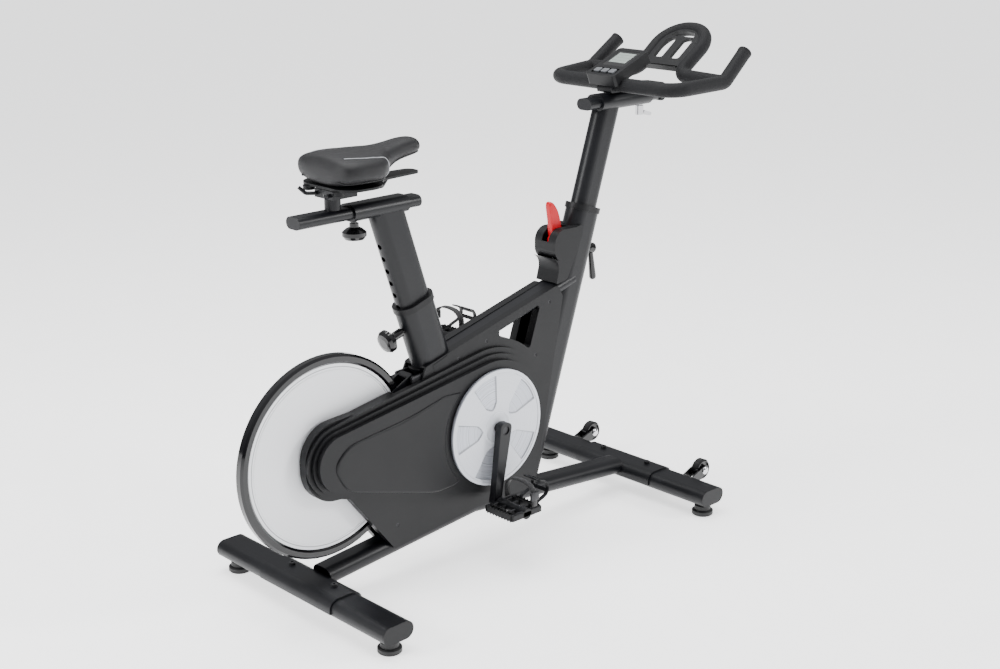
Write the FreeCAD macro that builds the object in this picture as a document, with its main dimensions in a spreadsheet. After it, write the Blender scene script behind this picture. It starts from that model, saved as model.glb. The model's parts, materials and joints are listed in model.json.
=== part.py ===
"""Indoor exercise bike: floor frame, flywheel drive, magnetic brake, seat and handlebar.

Row frame, millimetres: +X points the way the rider faces, +Y to the rider's left, +Z up.
The origin lies on the floor under the middle of the bike's outline.
Driving sizes live in the sheet; every piece is its own object with its own Label.
"""
import FreeCAD, Part
import math
import os
import re
from types import SimpleNamespace

import Sketcher
from FreeCAD import Placement, Rotation, Vector

SIZES = {
    # floor frame
    "rear_bar_x": -544, "front_bar_x": 462, "bar_length": 585, "bar_width": 80, "bar_height": 40,
    "bar_floor_gap": 32, "tube_wall": 2.5, "cap_flange": 5, "cap_plug": 14, "fit_gap": 0.3,
    "saddle_length": 250, "saddle_wall": 4, "saddle_bolt_pitch": 150, "saddle_bolt_shift": 9,
    "bolt_shank": 8, "bolt_head": 14, "bolt_head_tall": 6,
    "beam_width": 64, "beam_height": 40, "beam_rear_z": 69, "beam_peak_x": -77, "beam_peak_z": 109,
    "beam_front_z": 64,
    # levelling feet and transport wheels
    "foot_reach": 267, "foot_dia": 52, "foot_neck": 40, "foot_pad_tall": 12, "foot_stud": 10, "run_gap": 0.05,
    "wheel_ahead": 82, "wheel_y": 190, "wheel_z": 73, "wheel_dia": 54, "wheel_wide": 22, "wheel_axle": 8,
    "fork_plate": 4, "fork_tall": 26,
    # main tubes
    "seat_lean": 18.3, "seat_top_x": -236, "seat_top_z": 634, "seat_tube_long": 96, "seat_tube_wide": 60,
    "post_lean": 18.3, "post_top_x": 302, "post_top_z": 760, "post_tube_long": 88, "post_tube_wide": 60,
    "seat_foot_z": 112, "post_foot_z": 95,
    "top_beam_rear_z": 482, "top_beam_front_z": 597, "top_beam_tall": 30, "arm_face": 19,
    # cranks
    "crank_x": -49, "crank_z": 308, "crank_length": 170, "crank_lag": 9.2,
    "shell_dia": 46, "shell_width": 68, "spindle_dia": 20, "bearing_dia": 37, "bearing_wide": 12,
    "arm_y": 90, "arm_thick": 18, "arm_wide": 26, "disc_dia": 275, "disc_face_y": 72, "disc_thick": 9,
    "drive_pulley_dia": 224, "flywheel_pulley_dia": 56, "pulley_y": 47, "pulley_wide": 14,
    "belt_wide": 12, "belt_thick": 3, "belt_gap": 0.3,
    "pedal_wide": 92, "pedal_long": 92, "pedal_tall": 22,
    # flywheel
    "flywheel_x": -486, "flywheel_z": 338, "flywheel_dia": 453, "rim_deep": 21, "rim_wide": 24,
    "plate_thick": 14, "hub_dia": 70, "hub_wide": 44, "axle_dia": 12, "axle_long": 112,
    "axle_bearing_dia": 28, "boss_wide": 10,
    "stay_tall": 40, "stay_thick": 6, "stay_y": 30,
    # covers
    "cover_level": 36, "cover_deep": 62, "cover_wall": 3, "cover_inner_y": 15, "nose_radius": 82,
    "hood_radius": 183, "ridge_step": 13, "window_radius": 203, "screw_dia": 9, "part_gap": 1.0,
    "shroud_wall": 7, "shroud_tall": 58,
    # brake
    "lever_x": 208, "lever_z": 692, "lever_hub": 40, "lever_wide": 20, "lever_reach": 97,
    "housing_half": 34, "magnet_arm_y": 17, "magnet_arm_thick": 4, "caliper_x": -259, "caliper_z": 462,
    # seat
    "seat_post_long": 84, "seat_post_wide": 48, "seat_post_length": 390, "seat_beam_z": 857,
    "sleeve_start_x": -407, "sleeve_end_x": -259, "sleeve_wide": 56, "sleeve_tall": 36,
    "slider_start_x": -544, "slider_end_x": -226, "slider_wide": 46, "slider_tall": 26, "slide_gap": 0.3,
    "pillar_x": -445, "pillar_dia": 34, "rail_z": 905, "rail_dia": 8, "rail_half": 22,
    "saddle_rear_x": -480, "saddle_nose_x": -225, "saddle_half": 100, "saddle_base_z": 918,
    "saddle_top_z": 980, "saddle_nose_z": 996,
    "knob_dia": 52, "knob_deep": 24, "knob_stem": 12, "pin_dia": 12, "pin_drop": 50.5,
    "seat_knob_x": -391,
    # handlebar
    "bar_post_long": 70, "bar_post_wide": 46, "bar_post_length": 395, "stem_z": 1003,
    "stem_start_x": 341, "stem_end_x": 515, "stem_wide": 58, "stem_tall": 38,
    "bar_slider_wide": 46, "bar_slider_tall": 27, "bar_slider_start_x": 306, "bar_slider_end_x": 551,
    "bar_dia": 34, "cross_bar_x": 395, "cross_bar_y": 192, "bracket_gap": 2, "bracket_floor": 2,
    "bend_x": 555, "bend_y": 212, "bend_z": 1050, "tip_x": 637, "tip_y": 203, "tip_z": 1110,
    "loop_foot_x": 563, "loop_foot_z": 1055, "loop_half": 66, "loop_rise": 35.5, "loop_reach": 158,
    "loop_plate": 8, "console_x": 414, "console_z": 1092, "console_long": 132, "console_wide": 92,
    "console_tall": 28, "console_tilt": 22,
}

DOC = FreeCAD.newDocument("exercise_bike")
SHEET = DOC.addObject("Spreadsheet::Sheet", "sizes")
for row, (alias, number) in enumerate(SIZES.items(), 1):
    SHEET.set(f"A{row}", alias)
    SHEET.set(f"B{row}", str(number))
    SHEET.setAlias(f"B{row}", alias)
DOC.recompute()
dim = SimpleNamespace(**{alias: float(SHEET.get(alias)) for alias in SIZES})
PIECES = []


# ---------------------------------------------------------------- helpers
def bound(text):
    """An expression in which each sheet alias is read from the sheet."""
    return re.sub(r"[a-z_]+", lambda m: ("sizes." if m.group() in SIZES else "") + m.group(), str(text))


def bind(thing, **sizes):
    for name, text in sizes.items():
        thing.setExpression(name, bound(text))
    return thing


def at(x, y, z, turn=Rotation()):
    return Placement(Vector(x, y, z), turn)


def facing(x_dir, z_dir):
    """Rotation that sends local X to x_dir and local Z to z_dir."""
    return Rotation(Vector(*x_dir), Vector(), Vector(*z_dir), "ZXY")


def leaning(angle):
    """Rotation about Y: local Z leans towards +X by the angle."""
    return Rotation(Vector(0, 1, 0), angle)


ACROSS = Rotation(Vector(1, 0, 0), -90)      # local Z to +Y
FORWARD = facing((0, 1, 0), (1, 0, 0))       # local Z to +X, local X to +Y
SIDEWAYS = Rotation(Vector(1, 0, 0), 90)     # local Z to -Y, local Y to +Z


def keep(thing, label):
    """Marks an object as a finished piece under its own name."""
    thing.Label = label
    PIECES.append(thing)
    return thing


def cylinder(dia, length, place):
    thing = place_in(DOC.addObject("Part::Cylinder", "round"), place)
    return bind(thing, Radius=f"({dia}) / 2", Height=length)


def box(length, width, height, place):
    thing = place_in(DOC.addObject("Part::Box", "block"), place)
    return bind(thing, Length=length, Width=width, Height=height)


def place_in(thing, place):
    thing.Placement = place
    return thing


def fuse(*parts):
    joined = DOC.addObject("Part::MultiFuse", "joined")
    joined.Shapes = list(parts)
    joined.Refine = True
    return joined


def group(*parts):
    several = DOC.addObject("Part::Compound", "set")
    several.Links = list(parts)
    return several


def cut(base, *tools):
    result = DOC.addObject("Part::Cut", "cut")
    result.Base = base
    result.Tool = tools[0] if len(tools) == 1 else fuse(*tools)
    return result


def common(base, tool):
    result = DOC.addObject("Part::Common", "common")
    result.Base, result.Tool = base, tool
    return result


def mirrored(source):
    """The same piece on the other side of the bike's middle plane."""
    twin = DOC.addObject("Part::Mirroring", "mirror")
    twin.Source, twin.Normal, twin.Base = source, Vector(0, 1, 0), Vector(0, 0, 0)
    return twin


def plane_of(body, role):
    return next(o for o in body.Origin.OriginFeatures if o.Role == role)


def new_body(place=Placement()):
    body = DOC.addObject("PartDesign::Body", "body")
    body.Placement = place
    return body


def sketch_in(body, role="XY_Plane"):
    sketch = body.newObject("Sketcher::SketchObject", "sketch")
    sketch.AttachmentSupport = (plane_of(body, role), [""])
    sketch.MapMode = "FlatFace"
    return sketch


def add_slot(sketch, wide, tall, less="0"):
    """A centred obround, wide along the sketch's X; `less` is taken off all round."""
    full_w, full_t, off = (number_of(text) for text in (wide, tall, less))
    radius, half = full_t / 2 - off, (full_w - full_t) / 2
    top = sketch.addGeometry(Part.LineSegment(Vector(-half, radius, 0), Vector(half, radius, 0)))
    right = sketch.addGeometry(arc_about(half, 0, radius, -90, 90))
    low = sketch.addGeometry(Part.LineSegment(Vector(half, -radius, 0), Vector(-half, -radius, 0)))
    left = sketch.addGeometry(arc_about(-half, 0, radius, 90, 270))
    for first, first_end, second, second_end in ((top, 2, right, 2), (right, 1, low, 1), (low, 2, left, 2),
                                                 (left, 1, top, 1)):
        sketch.addConstraint(Sketcher.Constraint("Tangent", first, first_end, second, second_end))
    sketch.addConstraint(Sketcher.Constraint("Symmetric", left, 3, right, 3, -1, 1))
    sketch.addConstraint(Sketcher.Constraint("Horizontal", top))
    sketch.addConstraint(Sketcher.Constraint("Equal", left, right))
    round_end = sketch.addConstraint(Sketcher.Constraint("Radius", right, radius))
    pitch = sketch.addConstraint(Sketcher.Constraint("Distance", low, 2 * half))
    sketch.setExpression(f"Constraints[{round_end}]", bound(f"({tall}) / 2 - ({less})"))
    sketch.setExpression(f"Constraints[{pitch}]", bound(f"({wide}) - ({tall})"))


def number_of(text):
    """The value of a simple expression of sheet aliases."""
    holder = DOC.getObject("reckoner") or DOC.addObject("App::FeaturePython", "reckoner")
    if not hasattr(holder, "value"):
        holder.addProperty("App::PropertyFloat", "value")
    return float(holder.evalExpression(bound(text)))


def arc_about(x, y, radius, start, end):
    circle = Part.Circle(Vector(x, y, 0), Vector(0, 0, 1), radius)
    return Part.ArcOfCircle(circle, math.radians(start), math.radians(end))


def add_ring(sketch, dia, x=0, y=0):
    """A circle whose diameter is bound to the sheet."""
    ring = sketch.addGeometry(Part.Circle(Vector(x, y, 0), Vector(0, 0, 1), number_of(dia) / 2))
    size = sketch.addConstraint(Sketcher.Constraint("Diameter", ring, number_of(dia)))
    sketch.setExpression(f"Constraints[{size}]", bound(dia))


def add_outline(sketch, points):
    """A closed outline; a point may carry a third number, the radius that rounds its corner."""
    for edge in rounded_edges(points):
        sketch.addGeometry(edge)


def rounded_edges(points):
    """Lines and tangent arcs through corner points (x, y[, radius])."""
    corners = [(Vector(p[0], p[1], 0), p[2] if len(p) > 2 else 0) for p in points]
    trims, arcs = [], []
    for index, (corner, radius) in enumerate(corners):
        before = (corners[index - 1][0] - corner).normalize()
        after = (corners[(index + 1) % len(corners)][0] - corner).normalize()
        if radius <= 0:
            trims.append((corner, corner))
            arcs.append(None)
            continue
        half_turn = before.getAngle(after) / 2
        back = radius / math.tan(half_turn)
        start, end = corner + before * back, corner + after * back
        middle = corner + (before + after).normalize() * (radius / math.sin(half_turn) - radius)
        trims.append((start, end))
        arcs.append(Part.Arc(start, middle, end))
    edges = []
    for index, arc in enumerate(arcs):
        if arc:
            edges.append(arc)
        start, end = trims[index][1], trims[(index + 1) % len(trims)][0]
        if (end - start).Length > 1e-6:
            edges.append(Part.LineSegment(start, end))
    return edges


def pad(body, sketch, length, middle=False):
    feature = body.newObject("PartDesign::Pad", "pad")
    feature.Profile = sketch
    feature.setExpression("Length", bound(length))
    feature.Midplane = middle
    body.Tip = feature
    return feature


def pocket(body, sketch, length, flipped=False):
    feature = body.newObject("PartDesign::Pocket", "pocket")
    feature.Profile = sketch
    feature.setExpression("Length", bound(length))
    feature.Reversed = flipped
    body.Tip = feature
    return feature


def bar(wide, tall, length, place, wall=None):
    """An obround bar, or a tube with a wall, along its placement's Z."""
    body = new_body(place)
    sketch = sketch_in(body)
    add_slot(sketch, wide, tall)
    if wall:
        add_slot(sketch, wide, tall, wall)
    pad(body, sketch, length)
    return body


def plate(points, thick, place, middle=False):
    """A flat plate: an outline in the placement's XY plane, padded along its Z."""
    body = new_body(place)
    sketch = sketch_in(body)
    add_outline(sketch, points)
    pad(body, sketch, thick, middle)
    return body


def turned(points, place):
    """A solid of revolution about the placement's Z; points are (radius, height)."""
    body = new_body(place)
    sketch = sketch_in(body, "XZ_Plane")
    add_outline(sketch, points)
    feature = body.newObject("PartDesign::Revolution", "turn")
    feature.Profile = sketch
    feature.ReferenceAxis = (sketch, ["V_Axis"])
    feature.Angle = 360
    body.Tip = feature
    return body


def hull_of_circles(x_one, z_one, r_one, x_two, z_two, r_two):
    """Edges of the belt-shaped outline round two circles, first circle on the left."""
    reach = math.hypot(x_two - x_one, z_two - z_one)
    slope = math.degrees(math.atan2(z_two - z_one, x_two - x_one))
    spread = 90 + math.degrees(math.asin((r_two - r_one) / reach))
    high, low = slope + spread, slope - spread
    first = arc_about(x_one, z_one, r_one, high, low + 360)
    second = arc_about(x_two, z_two, r_two, low, high)
    return [first, Part.LineSegment(first.EndPoint, second.StartPoint), second,
            Part.LineSegment(second.EndPoint, first.StartPoint)]


def along(start, turn, up, across=0.0):
    """A point `up` along a leaning tube's axis and `across` it, forward."""
    return start + turn.multVec(Vector(across, 0, up))


# ---------------------------------------------------------------- common frames
bar_z = dim.bar_floor_gap + dim.bar_height / 2
wheel_x = dim.front_bar_x + dim.wheel_ahead
cross_bar_z = dim.stem_z + dim.stem_tall / 2 + dim.bracket_gap + dim.bracket_floor + dim.bar_dia / 2
SEAT_TURN, POST_TURN = leaning(-dim.seat_lean), leaning(dim.post_lean)
SEAT_TOP = Vector(dim.seat_top_x, 0, dim.seat_top_z)
POST_TOP = Vector(dim.post_top_x, 0, dim.post_top_z)
seat_tube_length = (dim.seat_top_z - dim.seat_foot_z) / math.cos(math.radians(dim.seat_lean))
post_tube_length = (dim.post_top_z - dim.post_foot_z) / math.cos(math.radians(dim.post_lean))
SEAT_FOOT = along(SEAT_TOP, SEAT_TURN, -seat_tube_length)
POST_FOOT = along(POST_TOP, POST_TURN, -post_tube_length)


def line_turn(start, end):
    """Rotation for a bar that runs from start to end in the middle plane, its width across the bike."""
    run = end - start
    return facing((0, 1, 0), (run.x, 0, run.z))


PIN_FACE = along(SEAT_TOP, SEAT_TURN, -dim.pin_drop, -dim.seat_tube_long / 2)
REAR_START = Vector(dim.rear_bar_x + dim.bar_width / 2 - 6, 0, dim.beam_rear_z)
PEAK = Vector(dim.beam_peak_x, 0, dim.beam_peak_z)
FRONT_END = Vector(dim.front_bar_x - dim.bar_width / 2 + 6, 0, dim.beam_front_z)
TOP_REAR = along(SEAT_TOP, SEAT_TURN,
                 (dim.top_beam_rear_z - dim.seat_top_z) / math.cos(math.radians(dim.seat_lean)))
TOP_FRONT = along(POST_TOP, POST_TURN,
                  (dim.top_beam_front_z - dim.post_top_z) / math.cos(math.radians(dim.post_lean)))


def seat_tube_block(extra="0"):
    """Solid form of the seat tube, grown all round by extra."""
    return bar(f"seat_tube_long + 2 * ({extra})", f"seat_tube_wide + 2 * ({extra})", seat_tube_length,
               Placement(SEAT_FOOT, SEAT_TURN))


def post_tube_block(extra="0"):
    return bar(f"post_tube_long + 2 * ({extra})", f"post_tube_wide + 2 * ({extra})", post_tube_length,
               Placement(POST_FOOT, POST_TURN))


def beam_block(start, end, extra="0", wall=None, past=0):
    turn = line_turn(start, end)
    return bar(f"beam_width + 2 * ({extra})", f"beam_height + 2 * ({extra})", (end - start).Length + past,
               Placement(start, turn), wall)


def top_beam_block(extra="0", wall=None):
    return bar(f"beam_width + 2 * ({extra})", f"top_beam_tall + 2 * ({extra})", (TOP_FRONT - TOP_REAR).Length,
               Placement(TOP_REAR, line_turn(TOP_REAR, TOP_FRONT)), wall)


# ---------------------------------------------------------------- floor frame
def stabiliser(bar_x):
    """The cross tube, drilled for the bracket's bolts and for its two feet."""
    tube = bar("bar_width", "bar_height", "bar_length", at(bar_x, -dim.bar_length / 2, bar_z, ACROSS),
               "tube_wall")
    feet = [cylinder("foot_stud + 2 * run_gap", "bar_height / 2",
                     at(bar_x, side * dim.foot_reach, bar_z - dim.bar_height / 2)) for side in (-1, 1)]
    return cut(tube, *bolt_holes(bar_x), *feet)


def bolt_holes(bar_x):
    x = bar_x + dim.saddle_bolt_shift
    return [cylinder("bolt_shank + fit_gap", "bar_height", at(x, side * dim.saddle_bolt_pitch / 2, bar_z))
            for side in (-1, 1)]


def bracket_form(bar_x, wall=None):
    """The bracket's outer form round a stabiliser, solid or as a tube with a wall."""
    return bar("bar_width + 2 * saddle_wall", "bar_height + 2 * saddle_wall", "saddle_length",
               at(bar_x, -dim.saddle_length / 2, bar_z, ACROSS), wall)


def floor_saddle(bar_x):
    """The half sleeve that holds a stabiliser to its beam."""
    below = box("2 * bar_width", "2 * saddle_length", "bar_height",
                at(bar_x - dim.bar_width, -dim.saddle_length, bar_z - dim.bar_height - 8))
    return cut(bracket_form(bar_x, "saddle_wall"), below, *bolt_holes(bar_x))


def stabiliser_cap(bar_x, side):
    end = side * dim.bar_length / 2
    turn = ACROSS if side > 0 else SIDEWAYS
    flange = bar("bar_width", "bar_height", "cap_flange", at(bar_x, end, bar_z, turn))
    plug = bar("bar_width - 2 * tube_wall - fit_gap", "bar_height - 2 * tube_wall - fit_gap", "cap_plug",
               at(bar_x, end - side * dim.cap_plug, bar_z, turn))
    return fuse(flange, plug)


def saddle_bolt(bar_x, side):
    top = bar_z + dim.bar_height / 2 + dim.saddle_wall
    x, y = bar_x + dim.saddle_bolt_shift, side * dim.saddle_bolt_pitch / 2
    head = cylinder("bolt_head", "bolt_head_tall", at(x, y, top))
    shank = cylinder("bolt_shank", "bar_height / 2", at(x, y, top - dim.bar_height / 2))
    socket = cylinder("bolt_shank * 0.7", "bolt_head_tall / 2", at(x, y, top + dim.bolt_head_tall / 2))
    return cut(fuse(head, shank), socket)


def build_floor_frame():
    bars = (dim.rear_bar_x, dim.front_bar_x)
    keep(group(*[stabiliser(x) for x in bars]), "stabiliser_tubes")
    keep(group(*[floor_saddle(x) for x in bars]), "stabiliser_brackets")
    keep(group(*[stabiliser_cap(x, side) for x in bars for side in (-1, 1)]), "stabiliser_end_caps")
    keep(group(*[saddle_bolt(x, side) for x in bars for side in (-1, 1)]), "stabiliser_bolts")
    half = dim.front_bar_x - dim.rear_bar_x
    behind = box(half, "4 * beam_width", "8 * beam_height", at(dim.beam_peak_x, -2 * dim.beam_width, 0))
    ahead = box(half, "4 * beam_width", "8 * beam_height",
                at(dim.beam_peak_x - half, -2 * dim.beam_width, 0))
    rear = beam_block(REAR_START, PEAK, wall="tube_wall", past=20)
    front = beam_block(FRONT_END, PEAK, wall="tube_wall", past=20)
    keep(group(cut(rear, behind, bracket_form(dim.rear_bar_x)),
               cut(front, ahead, bracket_form(dim.front_bar_x))), "main_beam")


def levelling_foot(bar_x, side, label):
    """A rubber foot on a threaded stud."""
    rim, neck, stud = dim.foot_dia / 2, dim.foot_neck / 2, dim.foot_stud / 2
    deck, shoulder = dim.foot_pad_tall, dim.bar_floor_gap - 8
    top = dim.bar_floor_gap + dim.bar_height / 2
    keep(turned([(0, 0), (rim - 2, 0), (rim, 2), (rim, deck - 1), (rim - 3, deck + 1), (neck, deck + 2),
                 (neck, shoulder), (stud, shoulder), (stud, top), (0, top)],
                at(bar_x, side * dim.foot_reach, 0)), label)


def transport_wheel(side, label):
    """A wheel with a dished web between its hub and its tread."""
    radius, half = dim.wheel_dia / 2, dim.wheel_wide / 2
    bore = dim.wheel_axle / 2 + dim.run_gap
    face = [(bore, half), (radius * 0.42, half), (radius * 0.46, half - 4), (radius * 0.72, half - 4),
            (radius * 0.78, half), (radius - 4, half), (radius, half - 4)]
    profile = [(r, -y) for r, y in face] + list(reversed(face))
    keep(turned(profile, at(wheel_x, side * dim.wheel_y, dim.wheel_z, ACROSS)), label)


def wheel_fork(side):
    """Two cheeks from the stabiliser's front face to the wheel's axle, and the axle."""
    cheeks, tall = [], dim.fork_tall / 2
    start, x, z = dim.front_bar_x + dim.bar_width / 2 - 12, wheel_x, dim.wheel_z
    outline = [(start, bar_z - tall), (x, z - tall), (x + tall, z - tall, tall * 0.8),
               (x + tall, z + tall, tall * 0.8), (x, z + tall), (start, bar_z + tall)]
    for cheek in (-1, 1):
        y = side * dim.wheel_y + cheek * (dim.wheel_wide / 2 + 1 + dim.fork_plate / 2) - dim.fork_plate / 2
        body = plate(outline, "fork_plate", at(0, y + dim.fork_plate, 0, SIDEWAYS))
        hole = cylinder("wheel_axle", "4 * fork_plate", at(x, y - dim.fork_plate, z, ACROSS))
        tube = bar("bar_width", "bar_height", "bar_length",
                   at(dim.front_bar_x, -dim.bar_length / 2, bar_z, ACROSS))
        cheeks.append(cut(body, hole, tube))
    span = dim.wheel_wide + 2 + 2 * dim.fork_plate
    return cheeks + [cylinder("wheel_axle", span, at(x, side * dim.wheel_y - span / 2, z, ACROSS))]


def build_feet_and_wheels():
    for bar_x, where in ((dim.rear_bar_x, "rear"), (dim.front_bar_x, "front")):
        for side, hand in ((1, "left"), (-1, "right")):
            levelling_foot(bar_x, side, f"{where}_{hand}_foot")
    for side, hand in ((1, "left"), (-1, "right")):
        transport_wheel(side, f"{hand}_transport_wheel")
    keep(group(*wheel_fork(1), *wheel_fork(-1)), "transport_wheel_brackets")


# ---------------------------------------------------------------- main frame
def build_main_frame():
    seat = bar("seat_tube_long", "seat_tube_wide", seat_tube_length, Placement(SEAT_FOOT, SEAT_TURN),
               "tube_wall")
    pin_hole = cylinder("pin_dia + 2 * run_gap", "seat_tube_long / 2",
                        Placement(PIN_FACE, leaning(90 - dim.seat_lean)))
    keep(cut(seat, *both_beams(), pin_hole), "seat_tube")
    post = bar("post_tube_long", "post_tube_wide", post_tube_length, Placement(POST_FOOT, POST_TURN),
               "tube_wall")
    stud_hole = cylinder("bolt_shank + 2 * run_gap", "post_tube_long / 2",
                         Placement(clamp_point(-12), leaning(90 + dim.post_lean)))
    keep(cut(post, *both_beams(), stud_hole), "front_post")
    keep(cut(top_beam_block(wall="tube_wall"), seat_tube_block(), post_tube_block()), "top_beam")
    seat_of_shell = at(dim.crank_x, -dim.shell_width / 2, dim.crank_z, ACROSS)
    shell = cut(cylinder("shell_dia", "shell_width", seat_of_shell),
                cylinder("bearing_dia", "shell_width", seat_of_shell))
    reach = dim.shell_dia * 0.75
    outline = [(dim.crank_x - 90, dim.crank_z + reach), (dim.crank_x + 8, dim.crank_z + 16, 8),
               (dim.crank_x + 8, dim.crank_z - 16, 8), (dim.crank_x - 60, dim.crank_z - 2 * reach)]
    gussets = [cut(plate(outline, 6, at(0, y + 3, 0, SIDEWAYS)), seat_tube_block(),
                   cylinder("shell_dia", "2 * shell_width",
                            at(dim.crank_x, -dim.shell_width, dim.crank_z, ACROSS)))
               for y in (-22, 22)]
    keep(group(cut(shell, seat_tube_block()), *gussets), "bottom_bracket")
    keep(group(flywheel_stay(1), flywheel_stay(-1)), "flywheel_stays")


def both_beams(extra="0"):
    """Solid form of the main beam's two halves, grown all round by extra."""
    return beam_block(REAR_START, PEAK, extra, past=20), beam_block(FRONT_END, PEAK, extra, past=20)


def flywheel_stay(side):
    """A flat stay welded to the seat tube's side, with the boss that holds a flywheel bearing."""
    low_y = dim.stay_y if side > 0 else -dim.stay_y - dim.stay_thick
    rear, front = dim.flywheel_x, dim.crank_x - 70
    strip = box(front - rear, "stay_thick", "stay_tall", at(rear, low_y, dim.flywheel_z - dim.stay_tall / 2))
    place = at(dim.flywheel_x, boss_start(side), dim.flywheel_z, ACROSS)
    boss = cylinder("axle_bearing_dia + 14", "boss_wide", place)
    bore = cylinder("axle_bearing_dia", "boss_wide", place)
    return cut(fuse(strip, boss), bore)


def boss_start(side):
    """Low Y end of the bearing boss on one stay."""
    return dim.stay_y - 2 if side > 0 else -dim.stay_y + 2 - dim.boss_wide


def clamp_point(out):
    """Centre of the handlebar clamp on the front face of the front post, `out` from the face."""
    return along(POST_TOP, POST_TURN, -92, dim.post_tube_long / 2 + out)


# ---------------------------------------------------------------- flywheel and brake
def build_flywheel():
    """Rim, disc, and the live axle with its hub and nuts; the axle runs in the stays' bearings."""
    radius, rim = dim.flywheel_dia / 2, dim.rim_wide / 2
    place = at(dim.flywheel_x, 0, dim.flywheel_z, ACROSS)
    inner, bevel = radius - dim.rim_deep, 5
    edge = [(inner, rim - bevel), (inner + bevel, rim), (radius - bevel, rim), (radius, rim - bevel)]
    keep(turned([(r, -y) for r, y in edge] + list(reversed(edge)), place), "flywheel_rim")
    half, hub = dim.plate_thick / 2, dim.hub_dia / 2
    face = [(hub, half), (inner - 14, half), (inner - 12, half - 1.5), (inner - 10, half), (inner, half)]
    keep(turned([(r, -y) for r, y in face] + list(reversed(face)), place), "flywheel_disc")
    wide, shaft = dim.hub_wide / 2, dim.axle_dia / 2
    boss = [(shaft, wide), (hub * 0.6, wide), (hub * 0.7, half + 2), (hub, half)]
    hub_body = turned([(r, -y) for r, y in boss] + list(reversed(boss)), place)
    axle = cylinder("axle_dia", "axle_long", at(dim.flywheel_x, -dim.axle_long / 2, dim.flywheel_z, ACROSS))
    nuts = []
    for y in (-dim.pulley_y - dim.pulley_wide / 2 - 4, dim.stay_y + dim.boss_wide):
        seat = at(dim.flywheel_x, y, dim.flywheel_z, ACROSS)
        nuts.append(cut(cylinder("axle_dia + 10", 4, seat), cylinder("axle_dia", 4, seat)))
    keep(group(hub_body, axle, *nuts), "flywheel_axle")
    keep(grooved_pulley(dim.flywheel_pulley_dia / 2, shaft, dim.flywheel_x, dim.flywheel_z),
         "flywheel_pulley")


def axle_bearings():
    bearings = []
    for side in (-1, 1):
        seat = at(dim.flywheel_x, boss_start(side), dim.flywheel_z, ACROSS)
        bearings.append(cut(cylinder("axle_bearing_dia", "boss_wide", seat),
                            cylinder("axle_dia + 2 * run_gap", "boss_wide", seat)))
    return bearings


def grooved_pulley(radius, shaft, x, z):
    """A flat-bottomed belt pulley with a flange each side; a big one is thinned between hub and rim."""
    half, lip, flange = dim.pulley_wide / 2, 4, 0.7
    hub, rim, web = shaft + 15, radius - 12, dim.pulley_wide / 6
    rim_side = [(radius + lip, -half), (radius + lip, -half + flange), (radius, -half + flange),
                (radius, half - flange), (radius + lip, half - flange), (radius + lip, half)]
    if rim > hub + 10:
        low = [(shaft, -half), (hub, -half), (hub + 2, -web), (rim, -web), (rim + 2, -half)]
        high = [(r, -y) for r, y in reversed(low)]
    else:
        low, high = [(shaft, -half)], [(shaft, half)]
    return turned(low + rim_side + high, at(x, -dim.pulley_y, z, ACROSS))


def build_belt():
    """The belt round both pulleys, a hair clear of their grooves."""
    body = new_body(at(0, -dim.pulley_y + dim.belt_wide / 2, 0, SIDEWAYS))
    sketch = sketch_in(body)
    for extra in (dim.belt_gap, dim.belt_gap + dim.belt_thick):
        for edge in hull_of_circles(dim.flywheel_x, dim.flywheel_z, dim.flywheel_pulley_dia / 2 + extra,
                                    dim.crank_x, dim.crank_z, dim.drive_pulley_dia / 2 + extra):
            sketch.addGeometry(edge)
    pad(body, sketch, "belt_wide")
    keep(body, "drive_belt")


def build_brake():
    """A two-armed magnet holder that swings on a pin behind the seat tube, astride the flywheel."""
    wheel = Vector(dim.flywheel_x, 0, dim.flywheel_z)
    pivot = Vector(dim.caliper_x, 0, dim.caliper_z)
    inward = (wheel - pivot).normalize()
    turn = facing((inward.x, 0, inward.z), (0, 1, 0))
    gap = dim.magnet_arm_y - dim.magnet_arm_thick / 2
    arms = []
    for side in (-1, 1):
        y = side * dim.magnet_arm_y - dim.magnet_arm_thick / 2
        arms.append(plate([(-9, -10, 7), (58, -13, 7), (58, 13, 7), (-9, 10, 7)], "magnet_arm_thick",
                          Placement(Vector(pivot.x, y, pivot.z), turn)))
    bridge = plate([(-9, -10, 3), (7, -10, 3), (7, 10, 3), (-9, 10, 3)], 2 * gap,
                   Placement(Vector(pivot.x, -gap, pivot.z), turn))
    pin = cylinder("wheel_axle + 2 * run_gap", 4 * dim.magnet_arm_y,
                   at(pivot.x, -2 * dim.magnet_arm_y, pivot.z, ACROSS))
    holder = cut(fuse(*arms, bridge), pin)
    magnets = []
    for side in (-1, 1):
        y = gap - 2 if side > 0 else -gap
        for out in (30, 47):
            spot = pivot + inward * out
            magnets.append(cylinder(13, 2, at(spot.x, y, spot.z, ACROSS)))
    keep(group(holder, *magnets), "magnet_holder")
    width = 2 * dim.stay_y
    pivot_pin = cylinder("wheel_axle", width, at(pivot.x, -width / 2, pivot.z, ACROSS))
    lugs = []
    for side in (-1, 1):
        y = side * (dim.stay_y - 3) - 3
        outline = [(pivot.x - 9, pivot.z - 9, 6), (pivot.x + 70, pivot.z - 14), (pivot.x + 70, pivot.z + 14),
                   (pivot.x - 9, pivot.z + 9, 6)]
        lug = plate(outline, 6, at(0, y + 6, 0, SIDEWAYS))
        bore = cylinder("wheel_axle", 20, at(pivot.x, y - 7, pivot.z, ACROSS))
        lugs.append(cut(lug, bore, seat_tube_block()))
    keep(group(pivot_pin, *lugs), "magnet_pivot")


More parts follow.
